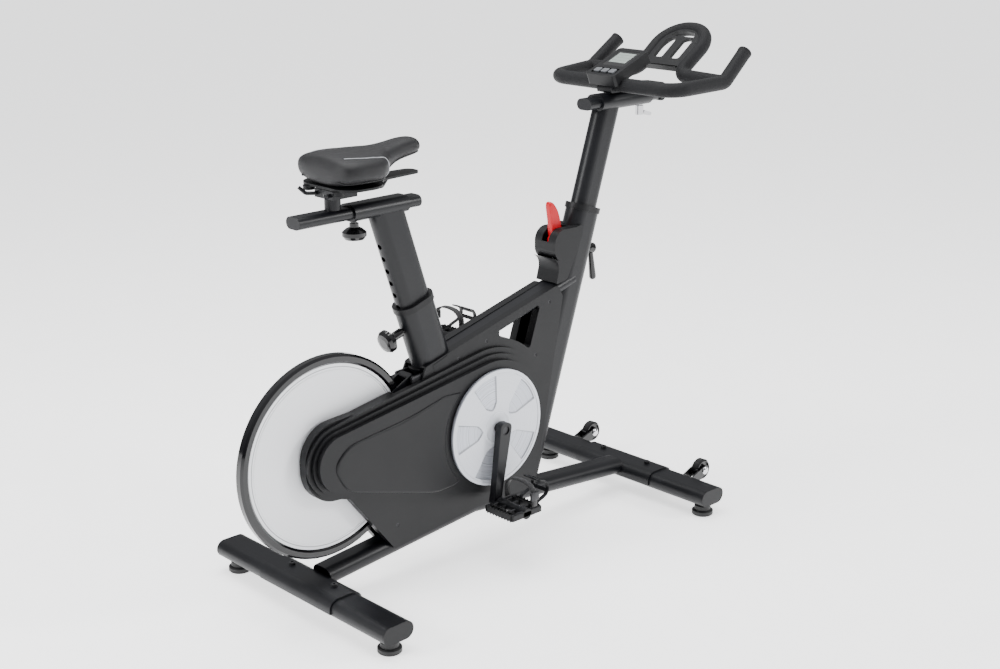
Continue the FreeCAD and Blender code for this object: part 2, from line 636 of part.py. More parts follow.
# ---------------------------------------------------------------- cranks and pedals
def build_crankset():
    """Spindle, pulley, arms, round covers and pedals, and the bearings that carry the shafts."""
    place = at(dim.crank_x, 0, dim.crank_z, ACROSS)
    seat, shaft = dim.bearing_dia / 2, dim.spindle_dia / 2
    end, wide, loose = dim.shell_width / 2, dim.bearing_wide, dim.spindle_dia / 2 + dim.run_gap
    bearings = [turned([(loose, y), (seat, y), (seat, y + wide), (loose, y + wide)], place)
                for y in (-end, end - wide)]
    keep(group(*bearings, *axle_bearings()), "shaft_bearings")
    reach = dim.arm_y + dim.arm_thick / 2 - 3
    keep(cylinder("spindle_dia", 2 * reach, at(dim.crank_x, -reach, dim.crank_z, ACROSS)), "crank_spindle")
    keep(grooved_pulley(dim.drive_pulley_dia / 2, shaft, dim.crank_x, dim.crank_z), "drive_pulley")
    keep(group(crank_disc(-1), crank_disc(1)), "crank_discs")
    keep(group(crank_arm(-1), crank_arm(1)), "crank_arms")
    keep(group(pedal_spindle(-1), pedal_spindle(1)), "pedal_spindles")
    build_pedal(-1, "right")
    build_pedal(1, "left")


def crank_disc(side):
    """The round crank cover: a raised rim and hub, with five sunken windows between five spokes."""
    body = new_body(at(dim.crank_x, side * dim.disc_face_y, dim.crank_z, ACROSS if side < 0 else SIDEWAYS))
    sketch = sketch_in(body)
    add_ring(sketch, "disc_dia")
    add_ring(sketch, "spindle_dia")
    pad(body, sketch, "disc_thick")
    outer, inner, half = dim.disc_dia / 2 - 10, 65, 16
    corner = [Vector(r * math.cos(math.radians(a)), r * math.sin(math.radians(a)), 0)
              for r, a in ((outer, half), (inner, half), (inner, -half), (outer, -half))]
    window = sketch_in(body)
    window.addGeometry(arc_about(0, 0, outer, -half, half))
    window.addGeometry(Part.LineSegment(corner[0], corner[1]))
    window.addGeometry(Part.Arc(corner[1], Vector(inner - 19, 0, 0), corner[2]))
    window.addGeometry(Part.LineSegment(corner[2], corner[3]))
    DOC.recompute()
    hollow = pocket(body, window, 2.5, flipped=True)
    DOC.recompute()
    ring = body.newObject("PartDesign::PolarPattern", "five")
    ring.Originals = [hollow]
    ring.Axis = (plane_of(body, "Z_Axis"), [""])
    ring.Angle, ring.Occurrences = 360, 5
    body.Tip = ring
    return body


def arm_direction(side):
    """Unit vector from the crank's axis to a pedal: the right one is down and a little to the rear."""
    lag = math.radians(dim.crank_lag)
    down = Vector(-math.sin(lag), 0, -math.cos(lag))
    return down if side < 0 else down * -1


def pedal_centre(side):
    return Vector(dim.crank_x, 0, dim.crank_z) + arm_direction(side) * dim.crank_length


def crank_arm(side):
    way, end = arm_direction(side), pedal_centre(side)
    half, long = dim.arm_wide / 2, dim.crank_length
    low = side * dim.arm_y - dim.arm_thick / 2
    upper = [(-half - 5, half + 4, half), (half + 10, half + 3, half), (long - 20, half - 2, 30),
             (long + half, half - 1, half - 2)]
    outline = [(u, -v, r) for u, v, r in upper] + list(reversed(upper))
    place = Placement(Vector(dim.crank_x, low, dim.crank_z), facing((way.x, 0, way.z), (0, 1, 0)))
    bores = [cylinder(dia, 3 * dim.arm_thick, at(x, low - dim.arm_thick, z, ACROSS))
             for dia, x, z in (("spindle_dia", dim.crank_x, dim.crank_z), ("axle_dia", end.x, end.z))]
    return cut(plate(outline, "arm_thick", place), *bores)


def pedal_spindle(side):
    """The pedal's shaft, from inside the crank arm to the pedal's outer end."""
    end, face = pedal_centre(side), dim.arm_y + dim.arm_thick / 2
    length, inner = dim.pedal_wide + 4 + dim.arm_thick, face - dim.arm_thick + 1
    low = inner if side > 0 else -inner - length
    return cylinder("axle_dia", length, at(end.x, low, end.z, ACROSS))


def build_pedal(side, hand):
    """A pedal that turns on its spindle, with a toe cage and a strap."""
    end = pedal_centre(side)
    long, wide, tall, wall = dim.pedal_long, dim.pedal_wide, dim.pedal_tall, 11
    start = dim.arm_y + dim.arm_thick / 2 + 5
    y = start if side > 0 else -start - wide
    shell = box(long, wide, tall, at(end.x - long / 2, y, end.z - tall / 2))
    gap = box(long - 2 * wall, wide - 2 * wall, 2 * tall,
              at(end.x - long / 2 + wall, y + wall, end.z - tall))
    barrel = cylinder("axle_dia + 14", wide, at(end.x, y, end.z, ACROSS))
    bore = cylinder("axle_dia + 2 * run_gap", 2 * wide, at(end.x, y - wide / 2, end.z, ACROSS))
    front, deck = long / 2, tall / 2
    cage = [(front, -deck + 2), (front + 4, -deck + 2), (front + 4, 8), (front + 34, 18), (front + 44, 34),
            (front + 36, 52), (front + 12, 60), (front + 10, 56), (front + 33, 48), (front + 39, 34),
            (front + 31, 22), (front, 12)]
    cage_plate = plate(cage, wide - 40, at(end.x, y + wide - 20, end.z, SIDEWAYS))
    keep(group(cut(fuse(cut(shell, gap), barrel), bore), cage_plate), f"{hand}_pedal")
    keep(toe_strap(end, y + wide / 2, wide / 2, deck), f"{hand}_toe_strap")


def toe_strap(end, y_mid, half, low):
    """The strap: a loop over the foot, from one side of the pedal to the other."""
    high, thick, strap_wide = 60, 3, 20
    turn, start = facing((0, 1, 0), (1, 0, 0)), end.x + 14
    outer = plate([(-half, low, 1), (-half, high - 14, 22), (0, high + 4, 60), (half, high - 14, 22),
                   (half, low, 1)], strap_wide, at(start, y_mid, end.z, turn))
    inner, foot = half - thick, low - 5
    hollow = plate([(-inner, foot), (-inner, high - 16, 20), (0, high, 58), (inner, high - 16, 20),
                    (inner, foot)], strap_wide + 4, at(start - 2, y_mid, end.z, turn))
    return cut(outer, hollow)


# ---------------------------------------------------------------- covers
def outline_plate(points, thick, y_low):
    """An outline in the X-Z plane, padded from y_low towards +Y."""
    return plate(points, thick, at(0, y_low + number_of(thick), 0, SIDEWAYS))


def hull_plate(nose, hood, thick, y_low):
    """The belt-shaped plate round the flywheel's axle and the crank's axis."""
    body = new_body(at(0, y_low + number_of(thick), 0, SIDEWAYS))
    sketch = sketch_in(body)
    for edge in hull_of_circles(dim.flywheel_x, dim.flywheel_z, nose, dim.crank_x, dim.crank_z, hood):
        sketch.addGeometry(edge)
    pad(body, sketch, thick)
    return body


def cover_outline(inset=0.0):
    """Corner points of a side cover, drawn in by inset: nose, arm, front edge and skirt."""
    nose = dim.nose_radius - inset
    x, z, foot = dim.crank_x, dim.crank_z, dim.beam_peak_z + 2 + inset
    arm_rear, arm_front = arm_top(x - 176) - inset, arm_top(x + 230) - inset
    return [
        (dim.flywheel_x - nose, dim.flywheel_z + nose * 1.02, nose * 0.98),
        (x - 250, z + 130 - inset, 20), (x - 194 + inset, z + 154 - inset, 4), (x - 182 + inset, arm_rear, 4),
        (x + 230, arm_front, 16), (x + 248 - inset, z + 258, 16), (x + 164 - inset, foot + 35, 6),
        (x + 156 - inset, foot - 6, 4), (dim.beam_peak_x, foot, 300), (x - 284 + inset, foot - 26, 6),
        (dim.flywheel_x + 27 + inset * 1.5, dim.flywheel_z - 92 + inset, 10),
        (dim.flywheel_x - nose, dim.flywheel_z - nose * 1.02, nose * 0.98),
    ]


def arm_top(x):
    """Height of the top beam's upper edge over a place along the bike."""
    slope = (TOP_FRONT.z - TOP_REAR.z) / (TOP_FRONT.x - TOP_REAR.x)
    return TOP_REAR.z + (x - TOP_REAR.x) * slope + dim.top_beam_tall / 2 / math.cos(math.atan(slope)) + 1


def window_edges(grow=0.0):
    """The see-through opening between the arm, the front post and the hood over the crank disc."""
    radius = dim.window_radius - grow
    spread = math.degrees(grow / radius) * 1.6
    start, middle, end = (hood_point(radius, angle) for angle in (79 + spread, 63, 47.5 - spread))
    below = dim.arm_face - grow
    top_left = Vector(start.x + 2, arm_top(start.x + 2) - below, 0)
    top_right = Vector(end.x + 36, arm_top(end.x + 36) - below, 0)
    return [Part.Arc(start, middle, end), Part.LineSegment(end, top_right),
            Part.LineSegment(top_right, top_left), Part.LineSegment(top_left, start)]


def hood_point(radius, angle):
    turn = math.radians(angle)
    return Vector(dim.crank_x + radius * math.cos(turn), dim.crank_z + radius * math.sin(turn), 0)


def window_block(length, y_high, grow=0.0):
    """The window as a solid with rounded corners, reaching `length` towards -Y from y_high."""
    body = new_body(at(0, y_high, 0, SIDEWAYS))
    sketch = sketch_in(body)
    for edge in window_edges(grow):
        sketch.addGeometry(edge)
    block = pad(body, sketch, length)
    DOC.recompute()
    uprights = [f"Edge{number}" for number, edge in enumerate(block.Shape.Edges, 1)
                if abs(edge.tangentAt(edge.FirstParameter).z) > 0.99]
    rounding = body.newObject("PartDesign::Fillet", "round")
    rounding.Base = (block, uprights)
    rounding.Radius = 7 + grow
    body.Tip = rounding
    return body


# cover screws, measured from the crank's axis, and the face each one sits in
SCREWS = [(dim.crank_x + x, dim.crank_z + z, face) for x, z, face in (
    (-376, 14, "deep"), (-275, -168, "flat"), (-87, 178, "flat"), (157, 132, "flat"),
    (202, 252, "flat"), (0, 200, "flat"), (112, -118, "flat"))]


def screw_face(level):
    return dim.cover_level if level == "flat" else dim.cover_deep


def build_covers():
    """Side covers: an open tray with a stepped belt guard, a hole for the crank and a window."""
    wall, inner = dim.cover_wall, dim.cover_inner_y
    flat, deep, nose, hood = dim.cover_level, dim.cover_deep, dim.nose_radius, dim.hood_radius
    outer = [outline_plate(cover_outline(), flat - inner, -flat)]
    hollow = [outline_plate(cover_outline(wall), flat - wall - inner + 1, -flat + wall)]
    for step, face in enumerate((flat + 8, flat + 15, deep)):
        less_nose, less_hood = step * 9, step * dim.ridge_step
        outer.append(hull_plate(nose - less_nose, hood - less_hood, face - inner, -face))
        hollow.append(hull_plate(nose - less_nose - wall, hood - less_hood - wall,
                                 face - wall - inner + 1, -face + wall))
    shell = cut(fuse(*outer), *hollow)
    tools = [cylinder("spindle_dia + 20", 2 * deep, at(dim.crank_x, -1.5 * deep, dim.crank_z, ACROSS)),
             seat_tube_block("part_gap"), post_tube_block("part_gap"), top_beam_block("part_gap"),
             *both_beams("part_gap")]
    for x, z, level in SCREWS:
        tools.append(cylinder("screw_dia", 2 * wall, at(x, -screw_face(level) - wall, z, ACROSS)))
    tools.append(box(145, 17, 70, at(dim.caliper_x - 64, -dim.stay_y - 1, dim.caliper_z - 48)))
    liner = window_block(flat - inner, -inner, wall)
    cover = fuse(shell, liner)
    for tool in (*tools, window_block(4 * deep, 2 * deep)):
        cover = cut(cover, tool)
    keep(cover, "right_cover")
    keep(mirrored(cover), "left_cover")
    heads = []
    for side in (-1, 1):
        for x, z, level in SCREWS:
            face = screw_face(level)
            y = -face + 0.8 if side < 0 else face - 0.8 - 2
            heads.append(cylinder("screw_dia - fit_gap", 2, at(x, y, z, ACROSS)))
    keep(group(*heads), "cover_screws")
    build_collars()


def build_collars():
    """The shroud at the seat tube's foot, and the collars on the two tubes' upper ends."""
    ring = bar("seat_tube_long + 2 * shroud_wall", "seat_tube_wide + 2 * shroud_wall", "shroud_tall",
               Placement(along(SEAT_TOP, SEAT_TURN, -205), SEAT_TURN))
    shroud = cut(ring, seat_tube_block("fit_gap / 2"), top_beam_block("fit_gap"), shroud_room())
    collars = []
    for tube, post, top, turn, tube_form in (
            ("post_tube", "bar_post", POST_TOP, POST_TURN, post_tube_block),
            ("seat_tube", "seat_post", SEAT_TOP, SEAT_TURN, seat_tube_block)):
        ring = bar(f"{tube}_long + 6", f"{tube}_wide + 6", 14, Placement(along(top, turn, -10), turn))
        bore = bar(f"{post}_long + 2 * run_gap", f"{post}_wide + 2 * run_gap", 60,
                   Placement(along(top, turn, -30), turn))
        collars.append(cut(ring, tube_form(), bore))
    keep(group(shroud, *collars), "tube_collars")


def shroud_room():
    """Space of both covers that the seat tube's shroud leaves free."""
    gap, deep = dim.fit_gap, dim.cover_deep + 1
    return fuse(outline_plate(cover_outline(-gap), 2 * dim.cover_level + 1, -dim.cover_level - 0.5),
                hull_plate(dim.nose_radius + gap, dim.hood_radius + gap, 2 * deep, -deep))


# ---------------------------------------------------------------- resistance lever
def housing_outline(inset=0.0):
    """Corner points of the lever housing, behind the front post's top."""
    x, z, half = dim.lever_x, dim.lever_z, dim.housing_half - inset
    rear_of_post = along(POST_TOP, POST_TURN, -30).x
    return [(x - half, z - half, half * 0.9), (x - half, z + half, half * 0.95), (x + half, z + half - 2, 4),
            (rear_of_post - 24, z + 36 - inset, 8), (rear_of_post - 26 - inset, z + 10, 8),
            (x + 7 - inset, z - 90 + inset, 10), (x - 29 + inset, arm_top(x - 29) + 1.5 + inset, 2),
            (x - half * 0.45, z - half * 1.25, 30)]


def build_lever():
    """Two housing halves on a pin, and the lever that turns on the pin between them."""
    wall, face, x, z = dim.cover_wall, dim.post_tube_wide / 2 + 4, dim.lever_x, dim.lever_z
    outer = outline_plate(housing_outline(), face, -face)
    hollow = outline_plate(housing_outline(wall), face, -face + wall)
    pin_hole = cylinder("wheel_axle", 20, at(x, -face + 1, z, ACROSS))
    slot = box(70, dim.lever_wide, 60, at(x - 38, -dim.lever_wide / 2 - 1, z + 4))
    half = cut(outer, hollow, post_tube_block("part_gap"), top_beam_block("part_gap"), pin_hole, slot)
    pin = 2 * (face - 1)
    keep(group(half, mirrored(half), cylinder("wheel_axle", pin, at(x, -pin / 2, z, ACROSS))),
         "lever_housing")
    reach, thick = dim.lever_reach, dim.lever_wide - 3
    blade = outline_plate([(x - 17, z, 2), (x - 19, z + 50, 60), (x - 27, z + reach, 6),
                           (x - 14, z + reach, 8), (x + 8, z + reach - 24, 30), (x + 18, z, 2)],
                          thick, -thick / 2)
    drum = cylinder("lever_hub", thick, at(x, -thick / 2, z, ACROSS))
    bore = cylinder("wheel_axle + 2 * run_gap", 3 * thick, at(x, -1.5 * thick, z, ACROSS))
    keep(cut(fuse(blade, drum), bore), "resistance_lever")


# ---------------------------------------------------------------- seat
def build_seat():
    """The seat post with the sleeve on its top, the slider in the sleeve and what it carries."""
    build_seat_post()
    start, end, top = dim.slider_start_x, dim.slider_end_x, dim.seat_beam_z + dim.slider_tall / 2
    slider = bar("slider_wide", "slider_tall", end - start, at(start, 0, dim.seat_beam_z, FORWARD), 2.5)
    caps = [bar("slider_wide", "slider_tall", 3, at(x, 0, dim.seat_beam_z, FORWARD))
            for x in (start - 3, end)]
    keep(group(slider, *caps), "seat_slider")
    clamp_x = dim.pillar_x - 22
    pillar = fuse(cylinder("pillar_dia", dim.rail_z - top + 4, at(dim.pillar_x, 0, top)),
                  box(64, 60, 10, at(clamp_x, -30, dim.rail_z - 9)))
    rails_room = [cylinder("rail_dia", 200,
                           at(dim.pillar_x - 60, side * dim.rail_half, dim.rail_z, leaning(90)))
                  for side in (-1, 1)]
    cap = cut(box(64, 60, 8, at(clamp_x, -30, dim.rail_z + 1)),
              cylinder("pillar_dia", 20, at(dim.pillar_x, 0, dim.rail_z - 10)), *rails_room)
    keep(group(cut(pillar, *rails_room), cap), "saddle_clamp")
    build_saddle(saddle_rails())
    keep(knob(Placement(PIN_FACE, leaning(-90 - dim.seat_lean)), "pin_dia", 5.5, 35), "seat_height_knob")
    under = at(dim.seat_knob_x, 0, dim.seat_beam_z - dim.sleeve_tall / 2, leaning(180))
    keep(knob(under, "knob_stem", 4, 18), "seat_slide_knob")


def build_seat_post():
    """A post with a row of pin holes in its rear face, and the sleeve welded across its top."""
    foot = along(SEAT_TOP, SEAT_TURN, -150)
    tube = bar("seat_post_long", "seat_post_wide", "seat_post_length", Placement(foot, SEAT_TURN), 2.5)
    long, place = dim.sleeve_end_x - dim.sleeve_start_x, at(dim.sleeve_start_x, 0, dim.seat_beam_z, FORWARD)
    above = box(400, 200, 200, at(dim.seat_top_x - 300, -100, dim.seat_beam_z))
    holes = [cylinder("pin_dia + fit_gap", 20,
                      Placement(along(SEAT_TOP, SEAT_TURN, -84 + step * 30, -dim.seat_post_long / 2 - 4),
                                leaning(90 - dim.seat_lean)))
             for step in range(-2, 9)]
    post = cut(tube, above, bar("sleeve_wide", "sleeve_tall", long, place), *holes)
    bore = bar("slider_wide + 2 * run_gap", "slider_tall + 2 * run_gap", 400,
               at(dim.sleeve_start_x - 100, 0, dim.seat_beam_z, FORWARD))
    stem_hole = cylinder("knob_stem + 2 * run_gap", 30, at(dim.seat_knob_x, 0, dim.seat_beam_z - 30))
    keep(group(post, cut(bar("sleeve_wide", "sleeve_tall", long, place), bore, stem_hole)), "seat_post")


def knob(place, stem, inward, neck):
    """A round knob on a neck, and its stem; the placement's Z points outwards from the tube's face."""
    radius, deep = dim.knob_dia / 2, dim.knob_deep
    shaft = number_of(stem) / 2
    profile = [(shaft, 6), (shaft + 4, 6), (shaft + 4, neck - 4), (radius - 8, neck), (radius, neck + 7),
               (radius, neck + deep - 9), (radius - 5, neck + deep - 2), (radius - 14, neck + deep),
               (0, neck + deep), (0, neck + 6), (shaft, neck + 6)]
    start = Vector(place.Base) + place.Rotation.multVec(Vector(0, 0, -inward))
    return group(turned(profile, place), cylinder(stem, inward + neck + 6, Placement(start, place.Rotation)))


def saddle_rails():
    """Two rail wires, raised into the shell under the nose and turned up into it at the rear."""
    half, z = dim.rail_half, dim.rail_z
    rear, front, top = dim.pillar_x - 42, dim.saddle_nose_x - 84, dim.saddle_base_z + 2
    wires = []
    for side in (-1, 1):
        points = [Vector(rear - 10, side * (half + 22), top - 2), Vector(rear, side * (half + 12), z),
                  Vector(rear + 14, side * half, z), Vector(front - 22, side * half, z),
                  Vector(front, side * (half - 8), top)]
        wires.append(shaped(rod_along(points, dim.rail_dia / 2, [9, 9, 9])))
    keep(group(*wires), "saddle_rails")
    return wires


def rod_along(points, radius, bend_radii):
    """A round rod through points; each inner point has its own bend radius."""
    edges, last = [], points[0]
    for before, corner, after, bend in zip(points, points[1:], points[2:], bend_radii):
        back, ahead = (before - corner).normalize(), (after - corner).normalize()
        half_turn = back.getAngle(ahead) / 2
        trim = bend / math.tan(half_turn)
        start, end = corner + back * trim, corner + ahead * trim
        middle = corner + (back + ahead).normalize() * (bend / math.sin(half_turn) - bend)
        if (start - last).Length > 0.01:
            edges.append(Part.LineSegment(last, start).toShape())
        edges.append(Part.Arc(start, middle, end).toShape())
        last = end
    edges.append(Part.LineSegment(last, points[-1]).toShape())
    path = Part.Wire(edges)
    ring = Part.Wire([Part.Circle(points[0], (points[1] - points[0]).normalize(), radius).toShape()])
    rod = path.makePipeShell([ring], True, True)
    if abs(rod.Volume / (math.pi * radius ** 2 * path.Length) - 1) > 0.02:
        raise RuntimeError("a rod's volume does not match its length")
    return rod


def shaped(shape):
    """An object that holds a shape made in code from the sheet's sizes."""
    thing = DOC.addObject("Part::Feature", "shape")
    thing.Shape = shape
    return thing


def build_saddle(rails):
    """The plastic base shell with sockets for the rails and two rear bumpers, and the padded top."""
    base_z, rear, nose, half = dim.saddle_base_z, dim.saddle_rear_x, dim.saddle_nose_x, dim.saddle_half
    side = [(rear, half - 8, 44), (rear + 92, half - 4, 52), (rear + 150, 36, 60), (nose + 10, 26, 18)]
    outline = [(x, -y, r) for x, y, r in side] + list(reversed(side))
    bumpers = [cylinder(26, base_z - dim.rail_z - 4,
                        at(dim.pillar_x - 22, way * (dim.rail_half + 26), dim.rail_z + 4)) for way in (-1, 1)]
    shell = plate(shrink(outline, 6), 5, at(0, 0, base_z))
    keep(group(*[cut(thing, *rails) for thing in (shell, *bumpers)]), "saddle_base")
    keep(saddle_pad(outline, base_z + 5), "saddle_pad")


def shrink(outline, by):
    """The same outline drawn in towards its middle."""
    middle = sum(p[0] for p in outline) / len(outline)
    return [(x + (by if x < middle else -by), y - math.copysign(by, y), radius) for x, y, radius in outline]


def saddle_pad(outline, z):
    """The pad: the saddle's plan shape, raised towards the nose."""
    rear, nose, top, nose_top = dim.saddle_rear_x, dim.saddle_nose_x, dim.saddle_top_z, dim.saddle_nose_z
    if top <= z:
        raise ValueError("the saddle's top lies below its base")
    profile = [(rear - 1, z - 1), (nose + 11, z + 16), (nose + 11, nose_top - 14, 16),
               (nose - 26, nose_top, 40), (nose - 120, top + 1, 90), (rear - 1, top - 2, 12)]
    return common(plate(outline, nose_top - z, at(0, 0, z)),
                  plate(profile, "2 * saddle_half", at(0, dim.saddle_half, 0, SIDEWAYS)))


# ---------------------------------------------------------------- handlebar
def build_handlebar():
    """The handlebar post with its stem, the slider and everything the slider carries."""
    post = bar("bar_post_long", "bar_post_wide", "bar_post_length",
               Placement(along(POST_TOP, POST_TURN, -140), POST_TURN), 2.5)
    long, place = dim.stem_end_x - dim.stem_start_x, at(dim.stem_start_x, 0, dim.stem_z, FORWARD)
    above = box(400, 200, 200, at(dim.stem_start_x - 50, -100, dim.stem_z))
    bore = bar("bar_slider_wide + 2 * run_gap", "bar_slider_tall + 2 * run_gap", 400,
               at(dim.stem_start_x - 100, 0, dim.stem_z, FORWARD))
    screw_hole = cylinder("bolt_shank + 2 * run_gap", 30, at(dim.stem_end_x - 17, 0, dim.stem_z - 30))
    keep(group(cut(post, above, bar("stem_wide", "stem_tall", long, place)),
               cut(bar("stem_wide", "stem_tall", long, place), bore, screw_hole)), "handlebar_post")
    start, end = dim.bar_slider_start_x, dim.bar_slider_end_x
    slider = bar("bar_slider_wide", "bar_slider_tall", end - start, at(start, 0, dim.stem_z, FORWARD), 2.5)
    cap = bar("bar_slider_wide", "bar_slider_tall", 4, at(start - 4, 0, dim.stem_z, FORWARD))
    keep(group(slider, cap, cut(bracket_block(), cross_bar_room())), "handlebar_slider")
    build_bars()
    build_console()
    build_stem_lock()
    build_post_clamp()


def cross_bar_room():
    """Space of the handlebar's straight middle."""
    return cylinder("bar_dia", 200, at(dim.cross_bar_x, -100, cross_bar_z, ACROSS))


def bracket_block():
    """The bracket from the slider's front end back over the stem to the handlebar."""
    low, top = dim.stem_z + dim.stem_tall / 2 + dim.bracket_gap, cross_bar_z - dim.bar_dia / 2 + 13
    rear, end, under = dim.cross_bar_x - dim.bar_dia / 2 - 7, dim.bar_slider_end_x, low - dim.stem_tall + 2
    return plate([(rear, low, 4), (end, low), (end, under), (end + 16, under, 10), (end + 16, low + 8, 14),
                  (dim.cross_bar_x + 50, top + 4, 40), (rear, top + 8, 14)], 46, at(0, 23, 0, SIDEWAYS))


def loop_point(reach, half=0.0, lift=0.0):
    """A point of the loop's sloping plane: reach up the slope, half across, lift out of it."""
    slope = math.radians(dim.loop_rise)
    x = dim.loop_foot_x + reach * math.cos(slope) - lift * math.sin(slope)
    z = dim.loop_foot_z + reach * math.sin(slope) + lift * math.cos(slope)
    return Vector(x, half, z)


def build_bars():
    """The bent handlebar, its raised middle loop and the plate inside the loop."""
    radius, half, reach = dim.bar_dia / 2, dim.loop_half, dim.loop_reach
    tips = [Vector(dim.tip_x, side * dim.tip_y, dim.tip_z) for side in (-1, 1)]
    bends = [Vector(dim.bend_x, side * dim.bend_y, dim.bend_z) for side in (-1, 1)]
    corners = [Vector(dim.cross_bar_x, side * dim.cross_bar_y, cross_bar_z) for side in (-1, 1)]
    main_bar = rod_along([tips[0], bends[0], corners[0], corners[1], bends[1], tips[1]], radius,
                         [28, 48, 48, 28])
    loop = rod_along([bends[0] + Vector(-2, 8, 0), loop_point(-4, -half), loop_point(reach, -half - 6),
                      loop_point(reach, half + 6), loop_point(-4, half), bends[1] + Vector(-2, -8, 0)],
                     radius, [32, half + 1, half + 1, 32])
    bars = main_bar.fuse(loop).removeSplitter()
    caps = [cylinder("bar_dia + 1", 5, Placement(tip, Rotation(Vector(0, 0, 1), tip - bend)))
            for tip, bend in zip(tips, bends)]
    keep(group(shaped(bars), *caps), "handlebar")
    rise = math.radians(dim.loop_rise)
    slope = facing((math.cos(rise), 0, math.sin(rise)), (-math.sin(rise), 0, math.cos(rise)))
    outline = [(16, -half - 2, 4), (reach - 8, -half - 4, half - 6), (reach - 8, half + 4, half - 6),
               (16, half + 2, 4)]
    sheet_plate = plate(outline, "loop_plate", Placement(loop_point(0, 0, 3), slope))
    through = Placement(loop_point(0, 0, -30), slope)
    slot = [(40, 12, 6), (106, 12, 8), (112, 26, 10), (106, 40, 10), (40, 40, 8)]
    slots = [plate(slot, 60, through), plate([(u, -v, r) for u, v, r in reversed(slot)], 60, through)]
    far = reach - radius - 3
    moon = plate([(118, -38, 4), (far - 5, -30, 12), (far, 0, 60), (far - 5, 30, 12), (118, 38, 4)], 60, through)
    lip = box(10, 2 * half - 2 * radius + 2, 16, Placement(loop_point(14, -half + radius - 1, -7), slope))
    panel = cut(fuse(sheet_plate, lip), *slots, moon)
    keep(cut(panel, shaped(bars)), "loop_plate_panel")


def build_console():
    """The tilted display: case with its foot, window, and three keys."""
    slope = leaning(-dim.console_tilt)
    long, wide, tall = dim.console_long, dim.console_wide, dim.console_tall
    middle = Placement(Vector(dim.console_x, 0, dim.console_z), slope)

    def sunk(depth):
        return Placement(middle.multVec(Vector(0, 0, -depth)), slope)

    def panel(low_x, high_x, low_y, high_y, radius, thick, depth):
        return plate([(low_x, low_y, radius), (high_x, low_y, radius), (high_x, high_y, radius),
                      (low_x, high_y, radius)], thick, sunk(depth))

    case = cut(panel(-long / 2, long / 2, -wide / 2, wide / 2, 9, "console_tall", tall), cross_bar_room())
    view, strip = panel(-18, 52, -34, 34, 3, 6, 2), panel(-56, -30, -36, 36, 3, 6, 3)
    foot = box(44, 40, 60, at(dim.cross_bar_x - 20, -20, cross_bar_z + 4))
    above = box(400, 200, 100, Placement(middle.multVec(Vector(-200, -100, -tall)), slope))
    keep(group(cut(case, view, strip), cut(foot, above, cross_bar_room(), bracket_block())), "console_case")
    keep(panel(-17.9, 51.9, -33.9, 33.9, 3, 1.6, 2), "console_display")
    for index in range(3):
        y = (index - 1) * 23
        keep(panel(-51, -35, y - 9, y + 9, 3, 3.2, 1.4), f"console_button_{index + 1}")


def build_stem_lock():
    """The fore-and-aft lock under the stem: screw, hub and a short lever."""
    x, face = dim.stem_end_x - 17, dim.stem_z - dim.stem_tall / 2
    screw = cylinder("bolt_shank", 26, at(x, 0, face - 24))
    hub = cut(cylinder(20, 22, at(x, 0, face - 26)), cylinder("bolt_shank", 24, at(x, 0, face - 24)))
    lever = plate([(x + 38, face - 33, 4), (x + 40, face - 25, 4), (x + 14, face - 17, 3),
                   (x + 8, face - 27, 3)], 10, at(0, 5, 0, SIDEWAYS))
    keep(group(screw, hub, cut(lever, cylinder(20, 40, at(x, 0, face - 40)))), "stem_lock")


def build_post_clamp():
    """The height clamp on the front post: stud, round cone and a hanging handle."""
    turn, shaft = leaning(90 + dim.post_lean), dim.bolt_shank / 2
    stud = cylinder("bolt_shank", 34, Placement(clamp_point(-8), turn))
    skin = [(9, 1), (12, 8), (13, 22), (9, 28), (0, 28)]
    cone = turned([(shaft, 1)] + skin + [(0, 26), (shaft, 26)], Placement(clamp_point(0), turn))
    root = clamp_point(15)
    way = Vector(10, 0, -74).normalize()
    start, long = root + way * 12, 62
    handle = DOC.addObject("Part::Cone", "handle")
    bind(place_in(handle, Placement(start, Rotation(Vector(0, 0, 1), way))),
         Radius1=6, Radius2=8.5, Height=long)
    ball = DOC.addObject("Part::Sphere", "ball")
    bind(place_in(ball, Placement(start + way * long, Rotation())), Radius=8.5)
    cone_room = turned([(0, 0.5)] + skin, Placement(clamp_point(0), turn))
    keep(group(stud, cone, cut(fuse(handle, ball), cone_room)), "post_clamp")


# ---------------------------------------------------------------- run
def main():
    build_floor_frame()
    build_feet_and_wheels()
    build_main_frame()
    build_flywheel()
    build_belt()
    build_brake()
    build_crankset()
    build_covers()
    build_lever()
    build_seat()
    build_handlebar()
    write_pieces()


def write_pieces():
    """Recomputes, refuses failed objects, and writes one STEP file for each piece."""
    DOC.recompute()
    failed = [thing.Name for thing in DOC.Objects if {"Invalid", "Error"} & set(thing.State)]
    broken = [piece.Label for piece in PIECES
              if piece.Shape.isNull() or not piece.Shape.isValid() or not piece.Shape.Solids]
    if failed or broken:
        raise RuntimeError(f"failed objects: {failed}; broken pieces: {broken}")
    os.makedirs("parts", exist_ok=True)
    for piece in PIECES:
        piece.Shape.exportStep(f"parts/{piece.Label}.step")
        limits = piece.Shape.BoundBox
        print(f"{piece.Label:26s} solids {len(piece.Shape.Solids):2d}"
              f"  volume {piece.Shape.Volume / 1000:8.1f} cm3"
              f"  x {limits.XMin:.0f}..{limits.XMax:.0f} y {limits.YMin:.0f}..{limits.YMax:.0f}"
              f" z {limits.ZMin:.0f}..{limits.ZMax:.0f}")


main()
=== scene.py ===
"""Looks of an indoor exercise bike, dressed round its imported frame.

Metres, +X the way the rider faces, +Y to the rider's left, +Z up, origin on the floor.
"""
import json
import logging
import math
from dataclasses import dataclass
from enum import Enum
from typing import Callable, Iterable, Optional, Sequence

import bmesh
import bpy
from mathutils import Matrix, Vector


